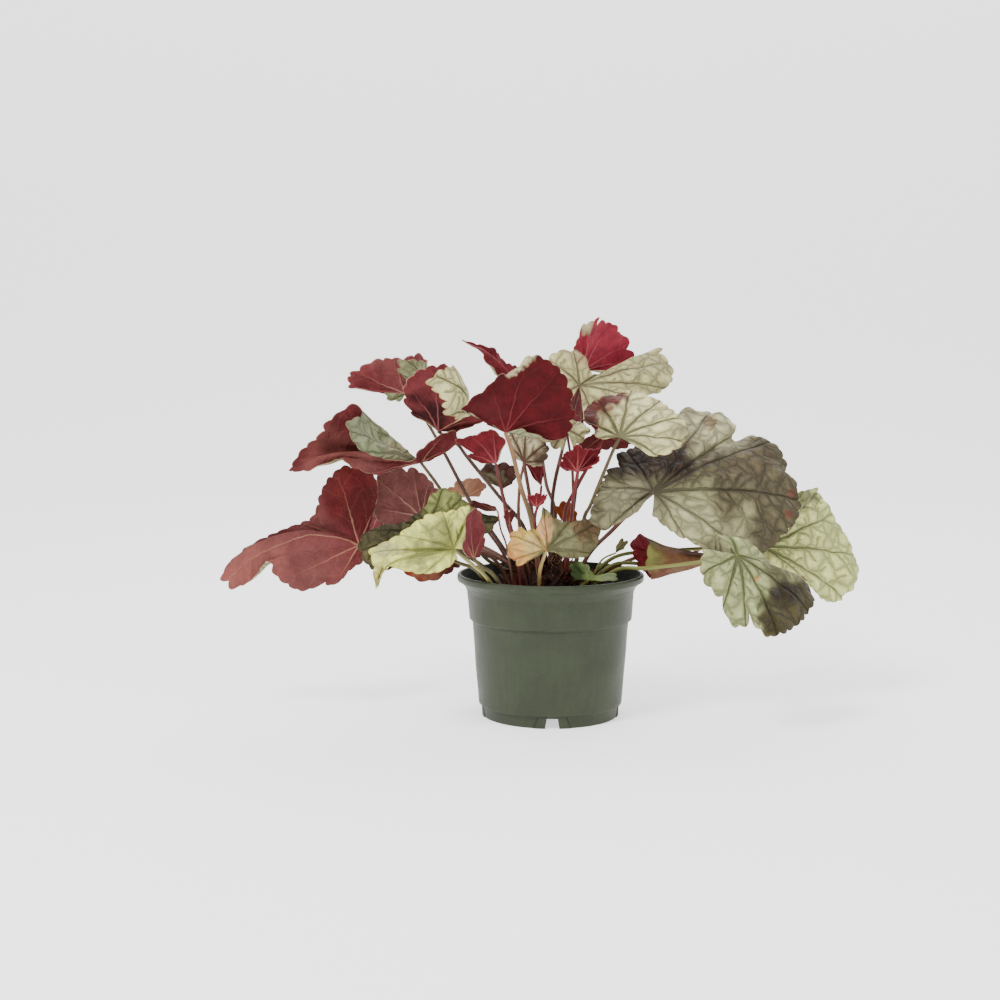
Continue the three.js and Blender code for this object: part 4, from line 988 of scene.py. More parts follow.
def arc_lengths(ribs, s, t):
    """How far each point is from the hub along its own rib."""
    total = np.zeros(len(s))
    before = np.repeat(ribs["hub"][None], len(s), 0)
    for step in np.linspace(0, 1, 9)[1:]:
        now = blade_points(ribs, s, t * step)
        total += np.linalg.norm(now - before, axis=1)
        before = now
    return total


def painted(colours, side, look, spots, s, seed):
    """Base colours with patches painted over them: the leaf's own markings, and in a few places painted
    shade.
    """
    tissue, shade, vein = colours
    for index, (face, across, up, radius, colour, strength, *part) in enumerate(look.get("paint", ())):
        if face != side:
            continue
        wobble = 0.3 * waves(spots[:, 0], spots[:, 1], radius * 0.8, seed + index)
        away = np.hypot(spots[:, 0] - across, spots[:, 1] - up) / radius + wobble
        weight = strength * (1 - smooth(away, 0.45, 1.1))
        if part:
            low, high = part[0]
            inside = smooth(s, low - 0.3, low + 0.3) * (1 - smooth(s, high - 0.3, high + 0.3))
            weight = weight * inside
        tissue = tissue + (linear(colour) - tissue) * weight[:, None]
        shade = shade + (linear(np.array(colour) * 0.82) - shade) * weight[:, None]
        if side == "top":
            vein = vein + (linear(np.array(colour) * 0.55) - vein) * 0.8 * weight[:, None]
    return tissue, shade, vein


def blade_of(leaf, look, seed):
    """A closed thin blade: points, faces, colours and the coordinates that its veins are drawn in."""
    ribs = ribs_of(leaf, look.get("pitch", BLADE["tooth_pitch"]))
    grid = blade_grid(ribs, np.array(look["veins"], float))
    s, t, faces = grid["s"], grid["t"], grid["faces"]
    points = blade_points(ribs, s, t)
    radius = arc_lengths(ribs, s, t)
    angle = np.interp(s, grid["fine"], grid["theta"])
    off = angle[:, None] - grid["vein_theta"][None]
    nearest = np.abs(off).argmin(1)
    turn = np.clip(off[np.arange(len(s)), nearest], -FOLD["widest_turn"], FOLD["widest_turn"])
    beside = radius * np.sin(turn)
    beyond = radius * np.cos(turn)
    side_veins = (beyond - 1.15 * np.abs(beside)) / FOLD["side_gap"] + 0.5 * (turn > 0)
    to_side_vein = np.abs(side_veins - np.round(side_veins)) * FOLD["side_reach"]
    main = np.exp(-((beside / (1.4 - 0.8 * t)) ** 2))
    side = np.exp(-((to_side_vein / 0.9) ** 2)) * smooth(np.abs(beside), 0.5, 3)
    puffed = (1 - main) * (1 - 0.3 * side)
    flat_x, flat_y = radius * np.cos(angle), radius * np.sin(angle)
    size = np.linalg.norm(ribs["tips"] - ribs["hub"], axis=1).max()
    ruffle = look.get("ruffle", 1.0) * min(1.0, size / 45) * t**3
    lift = look.get("relief", 0.45) * puffed * smooth(t, 0.03, 0.25)
    lift = lift + 0.5 * smooth(t, 0.1, 0.6) * waves(flat_x, flat_y, FOLD["broad_wave"], seed)
    lift = lift + ruffle * waves(flat_x, flat_y, FOLD["ruffle_wave"], seed + 50)
    points = points + vertex_normals(points, faces) * lift[:, None]
    normals = vertex_normals(points, faces)
    count = len(points)
    shell = np.vstack([points + normals * BLADE["thick"] / 2, points - normals * BLADE["thick"] / 2])
    under = faces[:, [0, 2, 1]] + count
    rim = []
    loop = grid["loop"]
    for i, a in enumerate(loop):
        b = loop[(i + 1) % len(loop)]
        rim += [(b, a, a + count), (b, a + count, b + count)]
    all_faces = np.vstack([faces, under, np.array(rim)])
    owners = np.concatenate([grid["owners"], grid["owners"], np.zeros(len(rim), int)])
    swing = np.tile(angle, 2)[all_faces] - grid["vein_theta"][owners][:, None]
    swing = np.clip(swing, -FOLD["widest_turn"], FOLD["widest_turn"])
    far = np.tile(radius, 2)[all_faces]
    vein_uv = np.stack([far * np.cos(swing), far * np.sin(swing)], 2)
    flat_uv = np.stack([np.tile(flat_x, 2)[all_faces], np.tile(flat_y, 2)[all_faces]], 2)
    spots = elevation(points)
    tissues, shades, veins = [], [], []
    for side_name in ("top", "under"):
        base = [linear(colour) for colour in PALETTES[look[side_name]]]
        colours = [np.repeat(colour[None], count, 0) for colour in base]
        tissue, shade, vein = painted(colours, side_name, look, spots, s, seed)
        tissues.append(tissue)
        shades.append(shade)
        veins.append(vein)
    slots = np.concatenate([np.zeros(len(faces), int), np.ones(len(under), int), np.ones(len(rim), int)])
    reach = np.linalg.norm(through(ribs["tips"], grid["fine"]) - ribs["hub"], axis=1)
    return dict(
        points=shell, faces=all_faces, slots=slots, vein_uv=vein_uv, flat_uv=flat_uv,
        tissue=np.vstack(tissues), shade=np.vstack(shades), vein=np.vstack(veins), along=np.tile(t, 2),
        rim=np.tile((1 - t) * np.interp(s, grid["fine"], reach), 2),
        strength=np.full(2 * count, look.get("faint", 1.0)), bold=np.full(2 * count, look.get("bold", 1.0)),
    )


# ---- Petioles -------------------------------------------------------------------------------------------


def ground_height(x, y):
    """How high the crown or the soil lies at a place."""
    r = math.hypot(x - CROWN["x"], y - CROWN["y"]) / CROWN["radius"]
    return SOIL_TOP + CROWN["lift"] + CROWN["height"] * math.sqrt(1 - r * r) if r < 1 else SOIL_TOP


def tube(centres, radii, sides):
    """A round closed tube along a path, its frames carried along so that it doesn't twist."""
    steps = unit(np.gradient(centres, axis=0))
    side = np.array([1.0, 0.0, 0.0])
    rings = []
    turns = np.linspace(0, 2 * math.pi, sides, endpoint=False)
    for centre, step, radius in zip(centres, steps, radii):
        side = unit(side - step * side.dot(step))
        other = np.cross(step, side)
        rings.append(centre + radius * (np.cos(turns)[:, None] * side + np.sin(turns)[:, None] * other))
    points = np.vstack([*rings, centres[:1], centres[-1:]])
    faces = grid_faces(len(rings), sides).tolist()
    foot, head = len(points) - 2, len(points) - 1
    top = (len(rings) - 1) * sides
    for k in range(sides):
        faces += [(foot, (k + 1) % sides, k), (head, top + k, top + (k + 1) % sides)]
    return points, np.array(faces)


def petiole_of(leaf, look, seed):
    """A leaf's petiole, from below the ground to its hub, with a rounded tip."""
    x, y = leaf["foot"]
    foot = np.array([[x, y, ground_height(x, y) - STALK["sunk"]]])
    middle = [place(point) for point in leaf["stalk"]]
    path = np.vstack([foot, *middle, place(leaf["hub"])])
    u = np.linspace(0, 1, STALK["rings"])
    centres = through(path, u * (len(path) - 1))
    ahead = unit(centres[-1] - centres[-2])
    radius = STALK["slim"] * leaf.get("radius", STALK["radius"])
    radii = radius * (1 - (1 - STALK["taper"]) * u) * (1 + STALK["swell"] * np.exp(-u * 14))
    radii *= 1 + 0.04 * np.sin(u * 23 + seed)
    cap = [(0.12, 0.8), (0.24, 0.4), (0.28, 0.1)]
    centres = np.vstack([centres, *[centres[-1] + ahead * radius * away for away, _ in cap]])
    radii = np.concatenate([radii, [radii[-1] * share for _, share in cap]])
    points, faces = tube(centres, radii, STALK["sides"])
    low, high = (linear(colour) for colour in PETIOLES[look["stalk"]])
    rung = np.concatenate([np.repeat(np.arange(len(centres)), STALK["sides"]), [0, len(centres) - 1]])
    share = np.clip(rung / (STALK["rings"] - 1), 0, 1)[:, None]
    colour = low + (high - low) * share
    length = np.concatenate([[0], np.cumsum(np.linalg.norm(centres[1:] - centres[:-1], axis=1))])[rung]
    around = np.concatenate([np.tile(np.arange(STALK["sides"]), len(centres)), [0, 0]]) * 1.1
    flat = np.stack([around[faces], length[faces]], 2)
    count = len(points)
    return dict(
        points=points, faces=faces, slots=np.full(len(faces), 2), vein_uv=np.zeros_like(flat), flat_uv=flat,
        tissue=colour, shade=colour * 0.6, vein=colour, along=share[:, 0], rim=np.full(count, 9.0),
        strength=np.ones(count), bold=np.ones(count),
    )


def joined(first, second):
    """Two sets of mesh data as one."""
    out = {}
    for key, value in first.items():
        extra = second[key] + len(first["points"]) if key == "faces" else second[key]
        out[key] = np.concatenate([value, extra])
    return out


# ---- Meshes ---------------------------------------------------------------------------------------------


def mesh_object(name, data, materials):
    """An object at the origin from points in mm, triangles and their attributes."""
    mesh = bpy.data.meshes.new(name)
    points = np.asarray(data["points"], float) * MM
    faces = np.asarray(data["faces"], np.int32)
    mesh.vertices.add(len(points))
    mesh.vertices.foreach_set("co", points.astype(np.float32).ravel())
    mesh.loops.add(faces.size)
    mesh.loops.foreach_set("vertex_index", faces.ravel())
    mesh.polygons.add(len(faces))
    mesh.polygons.foreach_set("loop_start", np.arange(0, faces.size, 3, dtype=np.int32))
    if "slots" in data:
        mesh.polygons.foreach_set("material_index", np.asarray(data["slots"], np.int32))
    for key in ("tissue", "shade", "vein"):
        if key in data:
            colours = np.hstack([np.clip(data[key], 0, 1), np.ones((len(points), 1))]).astype(np.float32)
            mesh.attributes.new(key, "FLOAT_COLOR", "POINT").data.foreach_set("color", colours.ravel())
    for key in ("along", "rim", "strength", "bold"):
        if key in data:
            values = np.asarray(data[key], np.float32)
            mesh.attributes.new(key, "FLOAT", "POINT").data.foreach_set("value", values)
    for key in ("flat_uv", "vein_uv"):
        if key in data:
            layer = mesh.uv_layers.new(name=key)
            layer.data.foreach_set("uv", (np.asarray(data[key]) * 0.01).astype(np.float32).ravel())
    for material in materials:
        mesh.materials.append(material)
    mesh.update(calc_edges=True)
    mesh.shade_smooth()
    thing = bpy.data.objects.new(name, mesh)
    bpy.context.collection.objects.link(thing)
    return thing


# ---- Materials ------------------------------------------------------------------------------------------


class Nodes:
    """A material's node tree, built by short calls."""

    def __init__(self, name):
        self.material = bpy.data.materials.new(name)
        self.material.use_nodes = True
        self.tree = self.material.node_tree
        self.shader = self.tree.nodes["Principled BSDF"]

    def put(self, socket, value):
        """Links a socket to another's output, or sets its value."""
        if isinstance(value, bpy.types.NodeSocket):
            self.tree.links.new(value, socket)
        elif value is not None:
            socket.default_value = value

    def node(self, kind, inputs=(), **settings):
        node = self.tree.nodes.new(kind)
        for key, value in settings.items():
            setattr(node, key, value)
        for key, value in dict(inputs).items():
            self.put(node.inputs[key], value)
        return node

    def math(self, operation, a, b=None, c=None):
        node = self.node("ShaderNodeMath", operation=operation)
        for socket, value in zip(node.inputs, (a, b, c)):
            self.put(socket, value)
        return node.outputs[0]

    def smooth(self, value, low, high, start=0.0, end=1.0):
        """A soft step from start to end while the value goes from low to high."""
        node = self.node("ShaderNodeMapRange", interpolation_type="SMOOTHSTEP")
        keys = ("Value", "From Min", "From Max", "To Min", "To Max")
        for key, given in zip(keys, (value, low, high, start, end)):
            self.put(node.inputs[key], given)
        return node.outputs["Result"]

    def times(self, a, b):
        return self.math("MULTIPLY", a, b)

    def larger(self, a, b):
        return self.math("MAXIMUM", a, b)

    def muladd(self, a, b, c):
        """a times b, plus c."""
        return self.math("MULTIPLY_ADD", a, b, c)

    def vectors(self, operation, inputs):
        return self.node("ShaderNodeVectorMath", inputs, operation=operation).outputs

    def scaled(self, vector, factor):
        return self.vectors("SCALE", {"Vector": vector, "Scale": factor})[0]

    def stretched(self, vector, factors):
        return self.vectors("MULTIPLY", {0: vector, 1: factors})[0]

    def mix(self, factor, a, b, blend="MIX"):
        """Two colours, blended."""
        node = self.node("ShaderNodeMix", data_type="RGBA", blend_type=blend)
        self.put(node.inputs[0], factor)
        for socket, value in ((node.inputs[6], a), (node.inputs[7], b)):
            if isinstance(value, (tuple, list, np.ndarray)):
                value = (*[float(v) for v in value[:3]], 1.0)
            self.put(socket, value)
        return node.outputs[2]

    def attribute(self, name, output="Fac"):
        return self.node("ShaderNodeAttribute", attribute_name=name).outputs[output]

    def uv(self, name):
        """A UV map in millimetres."""
        return self.scaled(self.node("ShaderNodeUVMap", uv_map=name).outputs[0], 100.0)

    def place(self):
        """Where the surface is, in millimetres."""
        return self.scaled(self.node("ShaderNodeNewGeometry").outputs["Position"], 1000.0)

    def parts(self, vector):
        node = self.node("ShaderNodeSeparateXYZ", {"Vector": vector})
        return node.outputs[0], node.outputs[1], node.outputs[2]

    def noise(self, vector, size, detail=3.0, rough=0.55):
        """Noise of 0 to 1 with lumps of the size given."""
        inputs = {"Vector": vector, "Scale": 1.0 / size, "Detail": detail, "Roughness": rough}
        return self.node("ShaderNodeTexNoise", inputs).outputs["Fac"]

    def cells(self, vector, size):
        """How far a point is from the nearest edge between cells."""
        inputs = {"Vector": vector, "Scale": 1.0 / size}
        node = self.node("ShaderNodeTexVoronoi", inputs, feature="DISTANCE_TO_EDGE")
        return node.outputs["Distance"]

    def finish(self, colour, roughness, height, distance, specular, sheen=0.0, strength=1.0):
        """Sets the shader's inputs, with a bump of the height given, and hands over the material."""
        bump = self.node("ShaderNodeBump", {"Strength": strength, "Distance": distance, "Height": height})
        self.put(self.shader.inputs["Base Color"], colour)
        self.put(self.shader.inputs["Roughness"], roughness)
        self.put(self.shader.inputs["Normal"], bump.outputs[0])
        self.shader.inputs["Specular IOR Level"].default_value = specular
        self.shader.inputs["Sheen Weight"].default_value = sheen
        return self.material


def leaf_material(name, upper):
    """Mottled tissue with main veins, side veins and a net: dark and sunken above, pale and raised below."""
    n = Nodes(name)
    flat = n.uv("flat_uv")
    along = n.attribute("along")
    strength = n.attribute("strength")
    bold = n.attribute("bold")
    x, beside, _ = n.parts(n.uv("vein_uv"))
    near = n.smooth(x, 0.0, 14.0)
    wander = n.muladd(n.noise(flat, 4.0, 1.0), 0.3, n.noise(flat, 18.0, 1.0))
    sway = n.times(n.math("SUBTRACT", wander, 0.65), near)
    away = n.math("ABSOLUTE", n.muladd(sway, 4.2, beside))
    widths = (1.1, 0.35) if upper else (0.62, 0.2)
    half = n.times(n.smooth(along, 0.0, 1.0, *widths), bold)
    main = n.smooth(n.math("DIVIDE", away, half), 0.5, 1.3, 1.0, 0.0)
    stray = n.muladd(n.noise(flat, 4.5, 1.0), 0.3, n.noise(flat, 20.0, 1.0))
    drift = n.times(n.math("SUBTRACT", stray, 0.65), 14.0)
    run = n.muladd(away, -0.95, n.math("ADD", x, drift))
    run = n.muladd(n.times(away, away), 0.012, run)
    other_side = n.times(n.math("GREATER_THAN", beside, 0.0), 0.5)
    rung = n.math("ADD", n.math("DIVIDE", run, VEINS["side_gap"]), other_side)
    gap = n.times(n.math("PINGPONG", rung, 0.5), 10.6)
    slim = n.times(n.smooth(away, 0.0, 22.0, 0.6, 0.3), bold)
    past_hub = n.smooth(x, 2.0, 8.0)
    side = n.times(n.smooth(n.math("DIVIDE", gap, slim), 0.5, 1.6, 1.0, 0.0), past_hub)
    swirl = n.node("ShaderNodeTexNoise", {"Vector": flat, "Scale": 0.1, "Detail": 1.0})
    shift = n.scaled(swirl.outputs["Color"], 6.0)
    warped = n.vectors("ADD", {0: flat, 1: shift})[0]
    web = n.cells(warped, VEINS["cell"])
    net = n.smooth(web, 0.0, 0.075, 1.0, 0.0)
    small = n.cells(warped, VEINS["small_cell"])
    mesh = n.smooth(small, 0.0, 0.13, 1.0, 0.0)
    blotch = n.smooth(n.noise(flat, 11.0, 4.0), 0.38, 0.64)
    mottle = n.smooth(n.noise(flat, 3.2, 4.0, 0.65), 0.42, 0.62)
    grain = n.noise(flat, 0.9, 4.0, 0.7)
    tissue = n.attribute("tissue", "Color")
    shade = n.attribute("shade", "Color")
    vein = n.attribute("vein", "Color")
    edge = n.attribute("rim")
    if upper:
        cloudy = n.muladd(mottle, 0.3, n.times(blotch, 0.6))
        colour = n.mix(cloudy, tissue, shade)
        wide = n.smooth(n.math("DIVIDE", away, n.muladd(half, 4.5, 1.5)), 0.05, 1.0, 1.0, 0.0)
        halo = n.larger(wide, n.smooth(gap, 0.0, 3.4, 0.75, 0.0))
        halo = n.larger(halo, n.smooth(web, 0.0, 0.3, 0.85, 0.0))
        halo = n.larger(halo, n.smooth(small, 0.0, 0.4, 0.28, 0.0))
        dusk = n.mix(0.45, shade, vein)
        colour = n.mix(n.times(halo, n.times(strength, 0.78)), colour, dusk)
        fine = n.larger(n.times(mesh, 0.1), n.times(net, 0.42))
        lines = n.larger(main, n.larger(n.times(side, 0.55), fine))
        lines = n.times(lines, n.times(strength, 0.9))
        colour = n.mix(lines, colour, vein)
        rim = n.smooth(edge, 0.15, 1.1, 0.6, 0.0)
        colour = n.mix(rim, colour, n.mix(1.0, shade, (0.8, 0.58, 0.5), "MULTIPLY"))
        ripple = n.smooth(small, 0.0, 0.45, 0.75, 1.0)
        domes = n.times(n.smooth(web, 0.0, 0.32), ripple)
        domes = n.times(domes, n.smooth(gap, 0.0, 2.6))
        domes = n.times(domes, n.smooth(away, 0.0, 2.6))
        height = n.muladd(lines, -0.8, n.times(domes, 0.9))
        # tone: random grain, times a painted highlight that lightens the middle of each puffed cell.
        tone = n.times(n.smooth(grain, 0.25, 0.8, 0.84, 1.12), n.smooth(domes, 0.0, 1.0, 0.94, 1.08))
        rough = n.smooth(grain, 0.2, 0.8, 0.46, 0.64)
        finish = dict(distance=0.0022, specular=0.2, sheen=0.02)
    else:
        colour = n.mix(n.muladd(mottle, 0.2, n.times(blotch, 0.6)), tissue, shade)
        faint = n.muladd(net, 0.03, n.times(mesh, 0.02))
        faint = n.muladd(side, 0.07, faint)
        fade = n.smooth(along, 0.1, 1.0, 0.8, 0.25)
        lines = n.times(n.larger(n.times(main, fade), faint), strength)
        colour = n.mix(lines, colour, vein)
        rim = n.smooth(edge, 0.1, 0.55, 0.45, 0.0)
        colour = n.mix(rim, colour, vein)
        height = n.muladd(net, 0.3, lines)
        tone = n.smooth(grain, 0.25, 0.8, 0.8, 1.16)
        rough = n.smooth(grain, 0.2, 0.8, 0.5, 0.68)
        finish = dict(distance=0.0007, specular=0.1, sheen=0.0)
    height = n.muladd(grain, 0.22, height)
    tint = n.node("ShaderNodeCombineColor", {0: tone, 1: tone, 2: tone}).outputs[0]
    colour = n.mix(1.0, colour, tint, "MULTIPLY")
    return n.finish(colour, rough, height, strength=0.85, **finish)


def petiole_material():
    """Long ridges and streaks on a slightly glossy stem."""
    n = Nodes("petiole")
    flat = n.uv("flat_uv")
    streak = n.noise(n.stretched(flat, (1.0, 0.09, 1.0)), 1.6, 3.0)
    spots = n.noise(flat, 2.4, 4.0)
    colour = n.mix(n.smooth(streak, 0.35, 0.7), n.attribute("tissue", "Color"), n.attribute("shade", "Color"))
    colour = n.mix(n.smooth(spots, 0.55, 0.75, 0.0, 0.4), colour, linear((120, 60, 50)))
    height = n.muladd(spots, 0.3, streak)
    return n.finish(colour, n.smooth(spots, 0.2, 0.8, 0.4, 0.58), height, 0.0003, specular=0.35)


def pot_material():
    """Thin grey-green moulded plastic, a little dusty, with fine scuffs and faint streaks, painted shade
    lines beside the notch panels and under the ledges, and painted shade with soil dust on the inner wall.
    """
    n = Nodes("pot_plastic")
    geometry = n.node("ShaderNodeNewGeometry")
    where = n.scaled(geometry.outputs["Position"], 1000.0)
    x, y, up = n.parts(where)
    x, y = n.math("ABSOLUTE", x), n.math("ABSOLUTE", y)
    slant = n.math("DIVIDE", n.math("MINIMUM", x, y), n.larger(x, y))
    # Painted shade: dark lines along the panel edges beside the notches, under the foot ledge and under the
    # step.
    flank = n.math("ABSOLUTE", n.math("SUBTRACT", slant, n.muladd(up, -0.0105, 0.279)))
    painted_shade_lines = n.times(n.smooth(flank, 0.004, 0.02, 1.0, 0.0), n.smooth(up, 7.2, 7.9, 1.0, 0.0))
    from_panel_top = n.math("ABSOLUTE", n.math("SUBTRACT", up, POT["panel_top"]))
    beside_panel = n.smooth(slant, 0.2, 0.21, 1.0, 0.6)
    ledge_shadow = n.times(n.smooth(from_panel_top, 0.1, 0.6, 1.0, 0.0), beside_panel)
    from_step = n.math("ABSOLUTE", n.math("SUBTRACT", up, POT["step"]))
    ledge_shadow = n.larger(ledge_shadow, n.smooth(from_step, 0.1, 0.8, 0.4, 0.0))
    painted_shade_lines = n.larger(painted_shade_lines, ledge_shadow)
    outwards = n.stretched(where, (0.02, 0.02, 0.0))
    normal = geometry.outputs["True Normal"]
    facing = n.vectors("DOT_PRODUCT", {0: normal, 1: outwards})["Value"]
    tall = n.stretched(where, (1.0, 1.0, 0.12))
    wide = n.stretched(where, (0.1, 0.1, 1.0))
    cloud = n.noise(where, 26.0, 4.0)
    streak = n.noise(tall, 3.0, 3.0)
    scuff = n.smooth(n.noise(wide, 0.7, 5.0, 0.7), 0.62, 0.72)
    fleck = n.smooth(n.noise(where, 0.9, 2.0), 0.7, 0.78)
    dust = n.smooth(n.noise(where, 7.0, 5.0, 0.65), 0.5, 0.78)
    dust = n.times(dust, n.smooth(up, 50.0, 92.0, 0.25, 0.8))
    colour = n.mix(n.smooth(cloud, 0.3, 0.7), linear((47, 53, 38)), linear((54, 60, 43)))
    colour = n.mix(n.smooth(streak, 0.4, 0.7, 0.0, 0.25), colour, linear((41, 47, 33)))
    colour = n.mix(n.times(dust, 0.35), colour, linear((76, 86, 66)))
    colour = n.mix(n.times(scuff, 0.2), colour, linear((78, 84, 70)))
    colour = n.mix(n.times(fleck, 0.5), colour, linear((44, 40, 30)))
    # Painted shade and soil dust: the inner wall, which faces the middle, is darkened and made matt.
    inside = n.smooth(facing, -0.5, -0.1, 1.0, 0.0)
    colour = n.mix(n.times(inside, 0.9), colour, linear((15, 18, 13)))
    # The painted shade lines, mixed in.
    colour = n.mix(n.times(painted_shade_lines, 0.7), colour, linear((22, 26, 18)))
    height = n.muladd(streak, 0.4, n.noise(where, 0.5, 3.0))
    height = n.muladd(scuff, -0.5, height)
    rough = n.muladd(dust, 0.25, n.smooth(cloud, 0.2, 0.8, 0.42, 0.52))
    rough = n.larger(rough, n.times(inside, 0.95))
    return n.finish(colour, rough, height, 0.00012, specular=0.22)


DOME_COLOUR = (46, 24, 18)
STUB_COLOURS = ((58, 26, 20), (74, 32, 24), (84, 52, 34), (62, 38, 26))
SCALE_COLOURS = ((84, 34, 28), (100, 60, 40), (122, 92, 58), (70, 28, 24), (96, 44, 34))
THREAD_COLOURS = ((140, 116, 78), (112, 84, 54), (92, 58, 38), (156, 134, 92))


def crown_material():
    """Dry woody and papery matter in long streaks."""
    n = Nodes("crown_bark")
    where = n.place()
    streak = n.noise(n.stretched(where, (1.0, 1.0, 0.2)), 0.8, 4.0, 0.65)
    patches = n.noise(where, 4.0, 3.0)
    own = n.attribute("tissue", "Color")
    colour = n.mix(n.smooth(streak, 0.35, 0.65), n.mix(1.0, own, (0.42, 0.36, 0.34), "MULTIPLY"), own)
    colour = n.mix(n.smooth(patches, 0.55, 0.75, 0.0, 0.5), colour, linear((52, 22, 18)))
    return n.finish(colour, n.smooth(streak, 0.2, 0.8, 0.7, 0.92), streak, 0.0005, specular=0.2)


def soil_material():
    """Broken, crumbly matter, with paler bits of bark in it."""
    n = Nodes("soil")
    where = n.place()
    crumbs = n.noise(where, 1.6, 6.0, 0.7)
    patches = n.noise(where, 8.0, 3.0)
    strands = n.smooth(n.cells(where, 3.2), 0.0, 0.12, 1.0, 0.0)
    dark, light, bark = linear((22, 17, 13)), linear((58, 44, 34)), linear((84, 66, 48))
    colour = n.mix(n.smooth(crumbs, 0.35, 0.7), dark, light)
    colour = n.mix(n.smooth(patches, 0.55, 0.75, 0.0, 0.5), colour, bark)
    colour = n.mix(n.times(strands, 0.5), colour, dark)
    height = n.muladd(strands, -0.5, crumbs)
    return n.finish(colour, n.smooth(crumbs, 0.2, 0.8, 0.8, 0.98), height, 0.00096, specular=0.2)


# ---- Pot, soil and crown --------------------------------------------------------------------------------


def rounded(outline, reach=0.35, steps=3):
    """A closed outline with each corner replaced by a small curve."""
    points = np.asarray(outline, float)
    out = []
    for i, corner in enumerate(points):
        before, after = points[i - 1] - corner, points[(i + 1) % len(points)] - corner
        if corner[0] == 0:
            out.append(corner)
            continue
        a = corner + unit(before) * min(reach, np.linalg.norm(before) / 3)
        b = corner + unit(after) * min(reach, np.linalg.norm(after) / 3)
        for u in np.linspace(0, 1, steps + 1):
            out.append(a * (1 - u) ** 2 + corner * 2 * u * (1 - u) + b * u**2)
    return np.array(out)


def turned(outline, sides, split):
    """Points and triangles of a body turned about Z, with long runs of its outline split."""
    line = [outline[0]]
    for p in outline[1:]:
        parts = max(1, int(np.linalg.norm(p - line[-1]) // split))
        start = line[-1]
        line += [start + (p - start) * (i + 1) / parts for i in range(parts)]
    line = np.array(line)
    turns = np.linspace(0, 2 * math.pi, sides, endpoint=False)
    points, rows = [], []
    for r, h in line:
        rows.append(list(range(len(points), len(points) + (1 if r == 0 else sides))))
        points += [(0, 0, h)] if r == 0 else [(r * math.cos(a), r * math.sin(a), h) for a in turns]
    faces = []
    for low, high in zip(rows, rows[1:]):
        for k in range(sides):
            a, b = low[k % len(low)], low[(k + 1) % len(low)]
            c, d = high[(k + 1) % len(high)], high[k % len(high)]
            faces += [f for f in ((a, b, c), (a, c, d)) if len(set(f)) == 3]
    return np.array(points, float), np.array(faces)


def pot_mesh():
    """The pot as the CAD part has it, with rounded corners, a rolled rim and panels round its notches."""
    outline = [
        (0, 0), (15, 0), (16, 6.4), (41, 6.4), (42, 0), (44.2, 0), (44.6, 7.4), (46.3, 8.3), (50.4, 62),
        (52.3, 63), (53.6, 80.5), (54.9, 84), (57.6, 86.6), (59.8, 87.8), (60, 89.4), (60, 91.2), (59.2, 92),
        (57.6, 91.9), (55.4, 88.6), (52.2, 81), (50.8, 64), (48.8, 60), (44.8, 9), (43.8, 8), (0, 8),
    ]
    points, faces = turned(rounded(outline), POT["sides"], POT["split"])
    x, y, z = points.T
    r = np.hypot(x, y)
    turn = np.degrees(np.arctan2(x, -y))
    from_notch = np.abs((turn + 45) % 90 - 45)
    panel_half = np.interp(z, [0, 7.4], [15.6, 11.4])
    outside = r > POT["body"]
    panel = smooth(from_notch, panel_half - 0.5, panel_half + 0.7) * outside * (z < 8)
    outer = outside * smooth(z, 2, 12) * (1 - smooth(z, 80, 86))
    wave = 0.22 * waves(turn * 0.9, z, 34, 5) * outer
    grow = (r - 0.6 * panel + wave) / np.maximum(r, 1)
    grow = np.where(outside, grow, 1)
    points[:, 0] *= grow
    points[:, 1] *= grow
    return dict(points=points, faces=faces)


def cut_notches(pot):
    """Drain notches through the foot ring, wider at the ground, the first of them at the front."""
    for i in range(NOTCH["count"]):
        bpy.ops.mesh.primitive_cube_add(size=1)
        cutter = bpy.context.object
        for corner in cutter.data.vertices:
            corner.co.x *= NOTCH["width"] - NOTCH["spread"] * (corner.co.z * 2)
            corner.co.y *= NOTCH["deep"]
            corner.co.z *= 2 * NOTCH["height"]
        cutter.scale = (MM, MM, MM)
        turn = 2 * math.pi * i / NOTCH["count"]
        cutter.location = Vector((math.sin(turn), -math.cos(turn), 0)) * NOTCH["ring"] * MM
        cutter.rotation_euler = (0, 0, turn)
        cut = pot.modifiers.new("notch", "BOOLEAN")
        cut.object = cutter
        cut.operation = "DIFFERENCE"
        cut.solver = "EXACT"
    bpy.context.view_layer.update()
    mesh = bpy.data.meshes.new_from_object(pot.evaluated_get(bpy.context.evaluated_depsgraph_get()))
    cutters = [modifier.object for modifier in pot.modifiers]
    pot.modifiers.clear()
    pot.data = mesh
    for cutter in cutters:
        bpy.data.objects.remove(cutter, do_unlink=True)
    mesh.shade_smooth()
    mesh.set_sharp_from_angle(angle=math.radians(POT["edge_angle"]))


